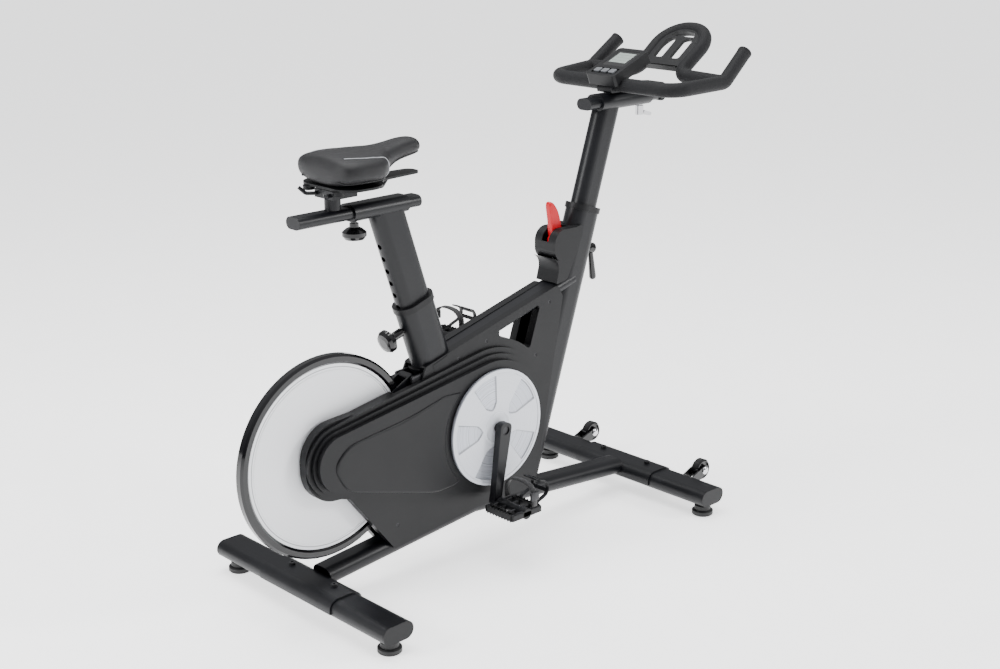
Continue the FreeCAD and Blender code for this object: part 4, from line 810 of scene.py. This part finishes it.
# ---------------------------------------------------------------- saddle
@dataclass
class Saddle:
    """The padded top: a lofted skin with a relief channel, piping and stitching."""

    half_width: Knots = ((0.0, 44), (0.015, 68), (0.05, 84), (0.11, 92), (0.2, 96), (0.3, 96), (0.4, 90),
                         (0.48, 74), (0.56, 52), (0.66, 39), (0.76, 33), (0.86, 30), (0.93, 27),
                         (0.975, 19), (1.0, 5))
    top: Knots = ((0.0, 967), (0.02, 980), (0.06, 986), (0.14, 988), (0.35, 987), (0.5, 987), (0.6, 988),
                  (0.7, 991), (0.8, 995), (0.88, 996), (0.94, 994), (0.98, 986), (1.0, 973))
    low: Knots = ((0.0, 946), (0.02, 932), (0.06, 925), (0.14, 923.6), (0.4, 923.6), (0.48, 926),
                  (0.56, 934), (0.64, 944), (0.72, 950), (0.82, 954), (0.9, 957), (0.97, 962), (1.0, 968))
    seam_along: Knots = ((0, 0.10), (0.5, 0.32), (0.78, 0.455), (1, 0.475))
    seam_angle: Knots = ((0, 60), (0.3, 52), (0.6, 44), (0.8, 26), (1, -50))
    stations: int = 60
    round_steps: int = 56
    seam_steps: int = 48
    welt_stations: int = 40
    middle_share: float = 0.48
    squareness: float = 2.7
    nose_round: float = 0.5
    channel_half: float = 0.010
    channel_deep: float = 0.0035
    dish: float = 0.004
    waist: float = 0.006
    slim: float = 0.02
    pipe_radius: float = 0.0011
    pipe_lift: float = 0.0004
    stitch_lift: float = 0.0002
    stitch_shift: float = 5.0
    welt_radius: float = 0.0019
    welt_lift: float = 0.0006
    welt_angle: float = 0.62

    def surface(self, along: float, turn: float, lift: float = 0.0) -> Vector:
        """A point of the skin.

        Args:
            along: place from rear, 0, to nose, 1.
            turn: angle round the section in radians, 0 at the left side and a quarter turn at the top.
            lift: distance outside the skin.

        Returns:
            The point.
        """
        lo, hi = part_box("saddle_pad")
        x = lo.x + (hi.x - lo.x) * along
        half = eased(self.half_width, along) * MM
        top, low = eased(self.top, along) * MM, eased(self.low, along) * MM
        middle = low + (top - low) * self.middle_share
        power = 2 / (self.squareness - self.nose_round * max(0.0, along - 0.5))
        c, s = math.cos(turn), math.sin(turn)
        y = math.copysign(abs(c) ** power, c) * half
        rise = (top - middle) if s > 0 else (middle - low)
        z = middle + math.copysign(abs(s) ** power, s) * rise
        if s > 0:
            groove = math.exp(-(y / self.channel_half) ** 2) * self.channel_deep
            groove *= max(0.0, min(1.0, (along - 0.08) / 0.1, (0.8 - along) / 0.15))
            across = math.sin(math.pi * min(1.0, abs(y) / max(half, 0.001)))
            z -= groove + self.dish * across * max(0.0, 0.5 - along)
        pull = self.waist * max(0.0, -s) * (1 if half > self.slim else half / self.slim)
        y -= math.copysign(min(abs(y), pull), y)
        return Vector((x, y, z)) + Vector((0, c, s)) * lift

    def build(self) -> None:
        """Makes the pad, its piping and its stitches."""
        rings = [[self.surface(i / self.stations, 2 * math.pi * k / self.round_steps)
                  for k in range(self.round_steps)] for i in range(self.stations + 1)]
        skin = softened(lofted("saddle_top", rings), 0, divide=1)
        pad = new_piece("saddle_top", skin, Finishes.leather, "saddle")
        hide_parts("saddle_pad")
        self.trim()

    def seam(self, side: int, lift: float, shift: float = 0.0) -> list[Vector]:
        """Follows the seam over one side lobe, which ends by turning down in front of the lobe.

        Args:
            side: 1 for the left lobe, -1 for the right.
            lift: distance outside the skin.
            shift: degrees to move the line round the section.

        Returns:
            The seam's points.
        """
        points = []
        for step in range(self.seam_steps + 1):
            t = step / self.seam_steps
            along = eased(self.seam_along, t)
            angle = eased(self.seam_angle, t) + shift
            turn = math.radians(angle) if side > 0 else math.pi - math.radians(angle)
            points.append(self.surface(along, turn, lift))
        return points

    def trim(self) -> None:
        """Lays the piping and a stitch row beside it on both lobes, and a welt round the base."""
        cord = cord_maker("piping_cord", Finishes.piping)
        stitches = stitch_maker("seam_stitches", Finishes.thread)
        pipes = [cord.run(line_mesh("seam", self.seam(side, self.pipe_lift)), Radius=self.pipe_radius)
                 for side in (-1, 1)]
        new_piece("saddle_piping", joined("saddle_piping", pipes), Finishes.piping, "saddle")
        rows = [stitches.run(line_mesh("seam", self.seam(side, self.stitch_lift, self.stitch_shift)))
                for side in (-1, 1)]
        new_piece("saddle_stitches", joined("saddle_stitches", rows), Finishes.thread, "saddle")
        count = self.welt_stations
        edge = [self.surface(k / count, -self.welt_angle, self.welt_lift) for k in range(1, count - 1)]
        edge += [self.surface(k / count, math.pi + self.welt_angle, self.welt_lift)
                 for k in range(count - 2, 0, -1)]
        welt = cord_maker("base_welt_cord", Finishes.plastic)
        band = welt.run(line_mesh("welt", edge, True), Radius=self.welt_radius)
        new_piece("saddle_welt", band, Finishes.plastic, "saddle")


# ---------------------------------------------------------------- controls
@dataclass
class BrakeLever:
    """The red lever's blade, rounded where a finger pulls it; its outline in millimetres from the pivot."""

    joint: str = "lever_swing"
    blade: Knots = ((-16, 2), (-18, 28), (-20, 52), (-25, 78), (-27, 94), (-22, 98), (-13, 95), (-4, 84),
                    (5, 70), (12, 46), (16, 22), (17, 2))
    heart: tuple[float, float] = (-6, 50)
    half_thick: float = 0.0082
    insets: Knots = ((-1, 0.18), (-0.92, 0.07), (-0.7, 0.0), (0.7, 0.0), (0.92, 0.07), (1, 0.18))
    drum: Knots = ((0.0045, -0.0083), (0.018, -0.0083), (0.0198, -0.0066), (0.0198, 0.0066),
                   (0.018, 0.0083), (0.0045, 0.0083))

    def build(self) -> None:
        """Makes the blade and its drum."""
        pivot = joint_place(self.joint)
        middle = Vector((self.heart[0] * MM, 0, self.heart[1] * MM))
        rings = []
        for y, inset in self.insets:
            ring = []
            for x, z in self.blade:
                spot = Vector((x * MM, 0, z * MM))
                spot = spot + (middle - spot) * inset
                ring.append(pivot + spot + Vector((0, y * self.half_thick, 0)))
            rings.append(ring)
        blade = softened(lofted("blade", rings), 0, divide=2)
        drum = revolved("drum", self.drum, frame_along(Vector((0, 1, 0)), pivot), 48)
        piece = new_piece("brake_lever", joined("brake_lever", [blade, drum]), Finishes.red, "brake_lever")
        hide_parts("resistance_lever")


# ---------------------------------------------------------------- cranks, pedals and covers
def slab(name: str, low: Point, high: Point, bevel: float = 0.0) -> bpy.types.Mesh:
    """Makes a block between two corners.

    Args:
        name: the mesh's name.
        low: its lowest corner.
        high: its highest corner.
        bevel: width of its rounded edges, or 0 for sharp ones.

    Returns:
        The mesh.
    """
    points = [(x, y, z) for x in (low[0], high[0]) for y in (low[1], high[1]) for z in (low[2], high[2])]
    faces = [(0, 1, 3, 2), (4, 6, 7, 5), (0, 4, 5, 1), (2, 3, 7, 6), (0, 2, 6, 4), (1, 5, 7, 3)]
    mesh = mesh_of(name, points, faces)
    return softened(mesh, bevel, 2) if bevel else mesh


def step_up(low: float, high: float, value: float) -> float:
    """A smooth step from 0 at low to 1 at high."""
    t = min(1.0, max(0.0, (value - low) / (high - low)))
    return t * t * (3 - 2 * t)


@dataclass
class CrankDiscs:
    """The two round crank covers: a raised rim, a hub ring and five sunken windows, in millimetres; the
    windows' floors and walls are painted darker as shade.
    """

    face: float = 72.0
    thick: float = 9.0
    bore: float = 10.4
    hub: float = 37.0
    rim: float = 130.0
    edge: float = 137.5
    window_out: float = 126.0
    window_in: float = 64.0
    bulge: float = 18.0
    half_angle: float = math.radians(16.5)
    pitch: float = math.radians(72)
    face_drop: float = 1.3
    edge_drop: float = 0.8
    ring_rise: float = 1.1
    window_drop: float = 2.9
    window_dish: float = 0.8
    hub_radii: tuple[float, ...] = (14, 20, 26, 31, 33.6, 34.6, 35.6, 36.6, 37.6, 38.6, 39.6, 42)
    window_first: float = 44
    window_pitch: float = 1.6
    window_rings: int = 50
    rim_radii: tuple[float, ...] = (124.2, 125, 125.8, 126.6, 128, 128.8, 129.4, 130, 130.6, 132, 134,
                                    135.5, 136.5, 137)
    # Depths and steepness that pick the window floors and walls painted darker as shade.
    floor_level: float = -3.2
    back_level: float = -6.0
    steep: float = 0.75
    steps: int = 260

    def height(self, radius: float, angle: float) -> float:
        """Finds the height of the face.

        Args:
            radius: distance from the crank's axis.
            angle: angle round it.

        Returns:
            The height above the face's highest plane, at most 0.
        """
        level = -self.face_drop * (1 - step_up(self.rim - 1.2, self.rim + 0.6, radius))
        level -= self.edge_drop * step_up(self.edge - 2.0, self.edge, radius)
        ring_in = step_up(self.hub - 2.6, self.hub - 0.9, radius)
        ring_out = step_up(self.hub + 0.6, self.hub + 2.2, radius)
        level += self.ring_rise * ring_in * (1 - ring_out)
        turn = (angle - math.pi) % self.pitch
        turn = min(turn, self.pitch - turn)
        inner = self.window_in - self.bulge * (1 - (turn / self.half_angle) ** 2)
        inside = min((self.half_angle - turn) * radius, self.window_out - radius, radius - inner)
        wall = self.window_drop * step_up(0.0, 1.7, inside)
        return level - wall - self.window_dish * step_up(6.0, 40.0, inside)

    def disc(self, side: int) -> bpy.types.Mesh:
        """Makes one cover, face outwards on its side of the bike.

        Args:
            side: 1 for the left side, -1 for the right.

        Returns:
            The cover's mesh, with a finish for its face and darker finishes, painted as shade, for its
            windows and their walls.
        """
        radii = [self.bore, *self.hub_radii]
        radii += [self.window_first + self.window_pitch * k for k in range(self.window_rings)]
        radii += [*self.rim_radii, self.edge]
        layers = [(radius, None) for radius in radii] + [(self.edge, self.thick), (self.bore, self.thick)]
        rings = [[self.point(side, radius, 2 * math.pi * k / self.steps, back) for k in range(self.steps)]
                 for radius, back in layers]
        mesh = lofted("disc", rings, closed=True)
        for finish in (Finishes.crank_cover, Finishes.crank_window_painted_shade, Finishes.crank_step_painted_shade):
            mesh.materials.append(finish.material())
        # Painted shade: steep wall faces get the darkest finish and the window floors a darker one, picked by
        # depth below the face.
        for face in mesh.polygons:
            level = abs(face.center.y) / MM - self.face
            if abs(face.normal.y) < self.steep and level > self.back_level:
                face.material_index = 2
            elif self.back_level < level < self.floor_level:
                face.material_index = 1
        return mesh

    def point(self, side: int, radius: float, angle: float, back: Optional[float]) -> Vector:
        """Places a point of the cover.

        Args:
            side: 1 for the left side, -1 for the right.
            radius: distance from the crank's axis.
            angle: angle round it.
            back: depth of the back, or None for a point of the face.

        Returns:
            The point.
        """
        level = self.height(radius, angle) if back is None else -back
        x, z = radius * math.cos(angle) * MM, radius * math.sin(angle) * MM
        return Vector((CRANK_CENTRE[0] + x, side * (self.face + level) * MM, CRANK_CENTRE[2] + z))

    def build(self) -> None:
        """Makes both covers."""
        piece = new_piece("crank_covers", joined("crank_covers", [self.disc(-1), self.disc(1)]),
                          Finishes.crank_cover, "crankset")
        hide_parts("crank_discs")


@dataclass
class Pedal:
    """A cage pedal: toothed plates, a barrel, a toe cage and a strap with its buckle."""

    hand: str
    joint: str
    side: int
    half_long: float = 0.046
    half_wide: float = 0.046
    half_tall: float = 0.010
    teeth: int = 9
    tooth: float = 0.0035
    plate_half: float = 0.0013
    plate_short: float = 0.004
    inner_plate: float = 0.012
    side_half: float = 0.005
    rib_at: float = 0.016
    rib_half: float = 0.003
    strip: float = 0.0026
    barrel: Knots = ((0.0065, 0.0), (0.0125, 0.0), (0.013, 0.001), (0.013, 0.02), (0.0115, 0.03),
                     (0.0115, 0.062), (0.013, 0.072), (0.013, 0.091), (0.0125, 0.092), (0.0065, 0.092))
    arm_at: float = 0.022
    arm_wide: float = 0.010
    arm_path: Knots = ((0.046, -0.004), (0.049, 0.008), (0.079, 0.019), (0.0875, 0.034), (0.081, 0.050),
                       (0.059, 0.057))
    cage_bars: tuple[Point, ...] = ((0.084, 0.027, 1.15), (0.085, 0.045, 1.95), (0.061, 0.0565, 2.9))
    bar_half: float = 0.0045
    bar_long: float = 0.046
    strap_at: float = 0.024
    strap_wide: float = 0.015
    strap_path: Knots = ((-0.0445, 0.011), (-0.0445, 0.045), (-0.028, 0.060), (0, 0.0635),
                         (0.028, 0.060), (0.0445, 0.045), (0.0445, 0.011))
    buckle_at: float = 0.0445
    buckle_half: float = 0.0035

    def centre(self) -> Vector:
        """Returns the middle of the pedal's barrel."""
        place = joint_place(self.joint)
        return Vector((place.x, middle_of(f"{self.hand}_toe_strap").y, place.z))

    def toothed(self, x: float) -> bpy.types.Mesh:
        """Makes a cross plate whose top and bottom edges are cut in teeth.

        Args:
            x: the plate's place along the pedal.

        Returns:
            The mesh.
        """
        wide, tall, top, low = self.half_wide - self.plate_short, self.half_tall, [], []
        for k in range(2 * self.teeth + 1):
            y = -wide + wide * k / self.teeth
            rise = tall if k % 2 else tall - self.tooth
            top.append((y, rise))
            low.append((y, -rise))
        outline, points, faces = top + low[::-1], [], []
        for shift in (-self.plate_half, self.plate_half):
            points += [(x + shift, y, z) for y, z in outline]
        count, half = len(outline), len(top)
        for k in range(half - 1):
            faces += [(k, k + 1, count - 2 - k, count - 1 - k),
                      tuple(count + i for i in (count - 1 - k, count - 2 - k, k + 1, k))]
        faces += [(k, count + k, count + (k + 1) % count, (k + 1) % count) for k in range(count)]
        return mesh_of("toothed", points, faces)

    def body_meshes(self) -> list[bpy.types.Mesh]:
        """Makes the pedal's plates, sides, ribs and barrel.

        Returns:
            The meshes, about the pedal's centre.
        """
        long, wide, tall = self.half_long, self.half_wide, self.half_tall
        edge, inner = self.plate_half, self.inner_plate
        meshes = [self.toothed(x) for x in (-long + edge, -long + inner, long - inner, long - edge)]
        for end in (-1, 1):
            y = end * (wide - self.side_half)
            meshes.append(slab("side", (-long, y - self.side_half, -tall * 0.8),
                               (long, y + self.side_half, tall * 0.8), 0.0025))
            meshes.append(slab("rib", (-long * 0.9, end * self.rib_at - self.rib_half, -tall * 0.6),
                               (long * 0.9, end * self.rib_at + self.rib_half, tall * 0.6), 0.0015))
        axle = frame_along(Vector((0, 1, 0)), Vector((0, -wide, 0)))
        meshes.append(revolved("barrel", self.barrel, axle, 36))
        return meshes

    def cage_meshes(self) -> list[bpy.types.Mesh]:
        """Makes the toe cage: two bent arms and the bars that join them.

        Returns:
            The meshes, about the pedal's centre.
        """
        meshes, across = [], Vector((0, 1, 0))
        for y in (-self.arm_at, self.arm_at):
            line = [Vector((x, y * (1.15 - 4 * max(0, z - 0.02)), z)) for x, z in self.arm_path]
            meshes.append(strip_mesh("arm", rounded_path(line, 0.012), across, self.arm_wide, self.strip))
        for x, z, tilt in self.cage_bars:
            way = Vector((math.cos(tilt), 0, math.sin(tilt))) * self.bar_half
            spot = Vector((x, 0, z))
            meshes.append(strip_mesh("bar", [spot - way, spot + way], across, self.bar_long, self.strip))
        return meshes

    def build(self) -> None:
        """Makes the pedal and its strap."""
        mesh = softened(joined("pedal", self.body_meshes() + self.cage_meshes()), 0.0005, 2)
        mesh.transform(Matrix.Translation(self.centre()))
        piece = new_piece(f"{self.hand}_pedal_cage", mesh, Finishes.plastic, f"pedal_{self.hand}",
                          smooth=False)
        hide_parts(f"{self.hand}_pedal")
        loop = rounded_path([Vector((0, y, z)) for y, z in self.strap_path], 0.016)
        strap = strip_mesh("strap", loop, Vector((1, 0, 0)), self.strap_wide, self.strip)
        strap.materials.append(Finishes.webbing.material())
        middle = self.side * self.buckle_at
        buckle = slab("buckle", (-0.012, middle - self.buckle_half, 0.026),
                      (0.012, middle + self.buckle_half, 0.046), 0.0015)
        buckle.materials.append(Finishes.dark_steel.material())
        both = joined("strap", [strap, buckle])
        both.transform(Matrix.Translation(self.centre() + Vector((self.strap_at, 0, 0))))
        belt = new_piece(f"{self.hand}_foot_strap", both, Finishes.webbing, f"pedal_{self.hand}")
        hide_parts(f"{self.hand}_toe_strap")


@dataclass
class CoverPanels:
    """The raised panel on each side cover, drawn in the bike's side plane in millimetres."""

    corners: Knots = ((-200, 420), (-306, 396), (-477, 375), (-516, 336), (-483, 272), (-230, 197),
                      (-180, 200))
    corner_radius: float = 32
    arc_radius: float = 152.0
    arc_from: float = 222.0
    arc_to: float = 134.0
    arc_steps: int = 24
    face: float = 61.8
    edge: Knots = ((0, 0), (1.0, 1.4), (3.5, 2.6), (7.0, 3.0), (9.0, 3.0))

    def outline(self) -> list[Vector]:
        """Rounds the corners and closes the outline with an arc round the crank.

        Returns:
            The outline's points, with no height.
        """
        path = rounded_path([Vector((x, 0, z)) for x, z in self.corners], self.corner_radius, 8)
        cx, cz = CRANK_CENTRE[0] / MM, CRANK_CENTRE[2] / MM
        for step in range(self.arc_steps + 1):
            angle = math.radians(self.arc_from + (self.arc_to - self.arc_from) * step / self.arc_steps)
            path.append(Vector((cx + self.arc_radius * math.cos(angle), 0,
                                cz + self.arc_radius * math.sin(angle))))
        return path

    def panel(self, side: int) -> bpy.types.Mesh:
        """Makes the panel of one side.

        Args:
            side: 1 for the left side, -1 for the right.

        Returns:
            The mesh.
        """
        line, rings = self.outline(), []
        middle = sum(line, Vector()) / len(line)
        for inset, level in self.edge:
            ring = []
            for spot in line:
                place = spot + (middle - spot).normalized() * inset
                ring.append(Vector((place.x, side * (self.face + level), place.z)) * MM)
            rings.append(ring)
        return lofted("panel", rings)

    def build(self) -> None:
        """Makes both panels."""
        both = joined("cover_panels", [self.panel(-1), self.panel(1)])
        new_piece("cover_panels", both, Finishes.plastic, "frame")


def islands(node: str) -> list[tuple[Vector, Vector]]:
    """Finds the separate solids of a node.

    Args:
        node: the CAD node.

    Returns:
        The lowest and highest corner of each solid.
    """
    work = bmesh.new()
    work.from_mesh(frame["nodes"][node].data)
    bmesh.ops.remove_doubles(work, verts=work.verts, dist=1e-5)
    left, found = set(work.verts), []
    while left:
        seed = left.pop()
        group, front = [seed], [seed]
        while front:
            for edge in front.pop().link_edges:
                for vert in edge.verts:
                    if vert in left:
                        left.remove(vert)
                        group.append(vert)
                        front.append(vert)
        low = Vector([min(v.co[k] for v in group) for k in range(3)])
        high = Vector([max(v.co[k] for v in group) for k in range(3)])
        found.append((low, high))
    work.free()
    return sorted(found, key=lambda pair: tuple(round(v, 4) for v in pair[0]))


class HeadWay(Enum):
    """Which way a row of screw heads faces."""

    RIGHT = (0.0, -1.0, 0.0)
    LEFT = (0.0, 1.0, 0.0)
    UP = (0.0, 0.0, 1.0)


@dataclass
class ScrewHeads:
    """Socket heads set on points by a node tree."""

    radius: float
    tall: float
    finish: Finish
    sides: int = 32
    socket_share: float = 0.5
    socket_lift: float = 0.55

    def maker(self, way: HeadWay) -> NodeMaker:
        """Builds the tree that sets a head on each point.

        Args:
            way: the way the heads face.

        Returns:
            The tree's maker.
        """
        maker = NodeMaker(f"heads_{way.name.lower()}_{self.finish.name}")
        maker.size("Radius", self.radius)
        maker.size("Tall", self.tall)
        start, graph = maker.begin(), maker.graph
        spots = graph.add("GeometryNodeMeshToPoints", {"Mesh": start.outputs["Geometry"]})
        head = graph.add("GeometryNodeMeshCylinder", {"Vertices": self.sides, "Depth": start.outputs["Tall"],
                                                      "Radius": start.outputs["Radius"]})
        socket = graph.add("GeometryNodeMeshCylinder", {"Vertices": 6, "Depth": start.outputs["Tall"]})
        graph.link(graph.math("MULTIPLY", start.outputs["Radius"], self.socket_share),
                   socket.inputs["Radius"])
        lift = graph.add("ShaderNodeCombineXYZ",
                         {"Z": graph.math("MULTIPLY", start.outputs["Tall"], self.socket_lift)})
        raised = graph.add("GeometryNodeTransform", {"Geometry": socket.outputs["Mesh"],
                                                     "Translation": lift.outputs[0]})
        hollow = graph.add("GeometryNodeMeshBoolean", {0: head.outputs["Mesh"], 1: raised.outputs[0]},
                           operation="DIFFERENCE")
        turn = graph.add("FunctionNodeAlignRotationToVector", {"Vector": way.value}, axis="Z")
        copies = graph.add("GeometryNodeInstanceOnPoints", {"Points": spots.outputs[0],
                                                            "Instance": hollow.outputs["Mesh"],
                                                            "Rotation": turn.outputs["Rotation"]})
        maker.end(copies.outputs[0], self.finish)
        return maker

    def set_on(self, name: str, node: str, ways: Callable[[Vector], HeadWay]) -> None:
        """Makes a head for each solid of a node, as one piece.

        Args:
            name: the piece's name.
            node: the CAD node it stands for.
            ways: the facing of a head from its middle.
        """
        rows: dict[HeadWay, list[Vector]] = {}
        for low, high in islands(node):
            middle = (low + high) / 2
            way = ways(middle)
            axis = Vector(way.value)
            reach = abs((high - low).dot(axis)) / 2 - self.tall / 2
            rows.setdefault(way, []).append(middle + axis * reach)
        parts = []
        for way, spots in rows.items():
            source = bpy.data.meshes.new("spots")
            source.from_pydata([tuple(s) for s in spots], [], [])
            parts.append(self.maker(way).run(source))
        piece = new_piece(name, joined(name, parts), self.finish, "frame", smooth=False)
        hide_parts(node)


@dataclass
class Display:
    """The console's window: dark glass with a grey-green panel in it."""

    tilt: float = math.radians(22)
    half: tuple[float, float] = (0.0348, 0.0338)
    panel: tuple[float, float] = (0.0225, 0.0260)
    panel_shift: float = 0.004
    marks_at: tuple[float, ...] = (-0.0085, 0.0045, 0.0165)
    mark_half: float = 0.0004
    mark_share: float = 0.85

    def build(self) -> None:
        """Makes the glass and the panel."""
        long, wide = self.half
        glass = slab("glass", (-long, -wide, -0.0008), (long, wide, 0.0008), 0.0006)
        glass.materials.append(Finishes.gloss.material())
        deep, side = self.panel
        lit = slab("lit", (-deep + self.panel_shift, -side, 0.0002),
                   (deep + self.panel_shift, side, 0.00105), 0.0003)
        lit.materials.append(Finishes.screen.material())
        marks = [slab("mark", (x - self.mark_half, -side * self.mark_share, 0.0009),
                      (x + self.mark_half, side * self.mark_share, 0.00115)) for x in self.marks_at]
        for mark in marks:
            mark.materials.append(Finishes.marks.material())
        both = joined("display_window", [glass, lit, *marks])
        both.transform(Matrix.Translation(middle_of("console_display")) @ Matrix.Rotation(-self.tilt, 4, "Y"))
        piece = new_piece("display_window", both, Finishes.screen, "bars", smooth=False)
        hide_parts("console_display")


@dataclass
class WheelHubs:
    """A domed cap on each side of both transport wheels' forks."""

    dome: Knots = ((0, 0), (0.0105, 0), (0.0105, 0.0008), (0.0084, 0.0028), (0.0042, 0.0042), (0, 0.0046))
    stand_off: float = 0.0052

    def build(self) -> None:
        """Makes the four caps."""
        meshes = []
        for node in ("left_transport_wheel", "right_transport_wheel"):
            lo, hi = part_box(node)
            middle = (lo + hi) / 2
            reach = (hi.y - lo.y) / 2 + self.stand_off
            for side in (-1, 1):
                spot = Vector((middle.x, middle.y + side * reach, middle.z))
                meshes.append(revolved("cap", self.dome, frame_along(Vector((0, side, 0)), spot), 40))
        new_piece("wheel_hub_caps", joined("wheel_hub_caps", meshes), Finishes.chrome, "frame")


# ---------------------------------------------------------------- studio
@dataclass(frozen=True)
class Lamp:
    """A square area light that faces a point."""

    name: str
    spot: Point
    aim: Point
    size: float
    power: float

    def build(self) -> None:
        """Makes the light."""
        lamp = bpy.data.lights.new(self.name, "AREA")
        lamp.shape, lamp.size, lamp.energy = "SQUARE", self.size, self.power
        holder = bpy.data.objects.new(self.name, lamp)
        bpy.context.scene.collection.objects.link(holder)
        holder.location = self.spot
        holder.rotation_euler = (Vector(self.aim) - Vector(self.spot)).to_track_quat("-Z", "Y").to_euler()


@dataclass
class Studio:
    """Floor, soft lights and camera."""

    camera_at: Point = (-2.3670, -2.5184, 1.5727)
    azimuth: float = -43.55
    elevation: float = 17.17
    roll: float = -0.29
    lens: float = 56.41
    sensor: float = 36.0
    view_end: float = 100.0
    floor_half: float = 24
    floor_glow: float = 1.35
    surround: tuple[float, float] = (0.10, 0.85)
    surround_top: float = 0.75
    surround_colour: tuple[float, float, float, float] = (0.97, 0.98, 1.0, 1.0)
    lamps: tuple[Lamp, ...] = (Lamp("top", (-0.3, 0.3, 3.6), (0, 0, 0.4), 2.6, 150),
                               Lamp("right_front", (2.4, -3.2, 2.2), (0, 0, 0.6), 1.0, 110),
                               Lamp("rear_side", (-3.4, 0.9, 1.9), (0, 0, 0.6), 0.9, 95))

    def build(self) -> None:
        """Makes the camera, the floor and the lights."""
        data = bpy.data.cameras.new("camera")
        data.lens, data.sensor_width, data.clip_end = self.lens, self.sensor, self.view_end
        camera = bpy.data.objects.new("camera", data)
        bpy.context.scene.collection.objects.link(camera)
        a, e = math.radians(self.azimuth), math.radians(self.elevation)
        back = Vector((math.sin(a) * math.cos(e), -math.cos(a) * math.cos(e), math.sin(e)))
        camera.rotation_mode = "QUATERNION"
        turn = (-back).to_track_quat("-Z", "Y")
        camera.rotation_quaternion = turn @ Matrix.Rotation(math.radians(self.roll), 3, "Z").to_quaternion()
        camera.location = self.camera_at
        bpy.context.scene.camera = camera
        self.floor()
        self.lights()

    def floor(self) -> None:
        """A pale floor, faintly uneven in tone."""
        half = self.floor_half
        corners = [(-half, -half, 0), (half, -half, 0), (half, half, 0), (-half, half, 0)]
        mesh = mesh_of("floor", corners, [(0, 1, 2, 3)])
        floor = bpy.data.objects.new("floor", mesh)
        bpy.context.scene.collection.objects.link(floor)
        finish = Finish("pale_floor", "frame_black", (0.90, 0.90, 0.905), (0.93, 0.93, 0.935), (0.6, 0.7),
                        Grain.POWDER, 60.0, 0.00001)
        material = finish.material()
        shader = next(n for n in material.node_tree.nodes if n.type == "BSDF_PRINCIPLED")
        shader.inputs["Emission Color"].default_value = (1.0, 1.0, 1.0, 1.0)
        shader.inputs["Emission Strength"].default_value = self.floor_glow
        mesh.materials.append(material)

    def lights(self) -> None:
        """A bright surround, a large top light and two side lights."""
        world = bpy.data.worlds.new("surround")
        world.use_nodes = True
        graph = Graph(world.node_tree)
        way = graph.add("ShaderNodeTexCoord").outputs["Generated"]
        rise = graph.add("ShaderNodeSeparateXYZ", {"Vector": way}).outputs["Z"]
        low, high = self.surround
        glow = graph.add("ShaderNodeMapRange", {"Value": rise, "From Min": 0.0, "To Min": low,
                                                "From Max": self.surround_top, "To Max": high})
        background = world.node_tree.nodes["Background"]
        graph.link(glow.outputs["Result"], background.inputs["Strength"])
        background.inputs["Color"].default_value = self.surround_colour
        bpy.context.scene.world = world
        for lamp in self.lamps:
            lamp.build()


# ---------------------------------------------------------------- dressing the frame
@dataclass
class FrameDress:
    """Finishes for the pieces whose CAD shape stays."""

    finishes: dict[str, Finish]

    def plan(self) -> dict[str, Finish]:
        """Chooses each node's finish: by its slot, unless this class names another.

        Returns:
            The finish of each node.
        """
        by_slot = {finish.slot: finish for finish in (
            Finishes.powder, Finishes.plastic, Finishes.gloss, Finishes.rim, Finishes.disc,
            Finishes.crank_cover, Finishes.steel, Finishes.chrome, Finishes.cast, Finishes.belt,
            Finishes.foot, Finishes.foam, Finishes.red, Finishes.leather, Finishes.webbing,
            Finishes.screen, Finishes.keys)}
        plan = {part["node"]: by_slot[part["material_slot"]] for part in frame["record"]["subparts"]}
        plan.update(self.finishes)
        return plan

    def build(self) -> None:
        """Assigns a finish to every node's material slots."""
        for node, finish in self.plan().items():
            piece = frame["nodes"][node]
            if not piece.material_slots:
                piece.data.materials.append(finish.material())
            for holder in piece.material_slots:
                holder.material = finish.material()
            LOG.info("%s dressed in %s", node, finish.name)


def main() -> None:
    """Builds the bike's looks, piece by piece."""
    logging.basicConfig(level=logging.INFO)
    Studio().build()
    FrameDress({"transport_wheel_brackets": Finishes.gloss, "pedal_spindles": Finishes.dark_steel,
                "post_clamp": Finishes.gloss, "magnet_pivot": Finishes.dark_steel,
                "crank_spindle": Finishes.dark_steel, "magnet_holder": Finishes.powder}).build()
    Saddle().build()
    BrakeLever().build()
    CrankDiscs().build()
    Pedal("right", "right_pedal_spin", -1).build()
    Pedal("left", "left_pedal_spin", 1).build()
    CoverPanels().build()
    ScrewHeads(0.0046, 0.0022, Finishes.dark_steel).set_on(
        "cover_screw_heads", "cover_screws", lambda spot: HeadWay.RIGHT if spot.y < 0 else HeadWay.LEFT)
    ScrewHeads(0.0072, 0.0060, Finishes.dark_steel).set_on("frame_bolt_heads", "stabiliser_bolts",
                                                           lambda spot: HeadWay.UP)
    Display().build()
    WheelHubs().build()


if __name__ == "__main__":
    main()
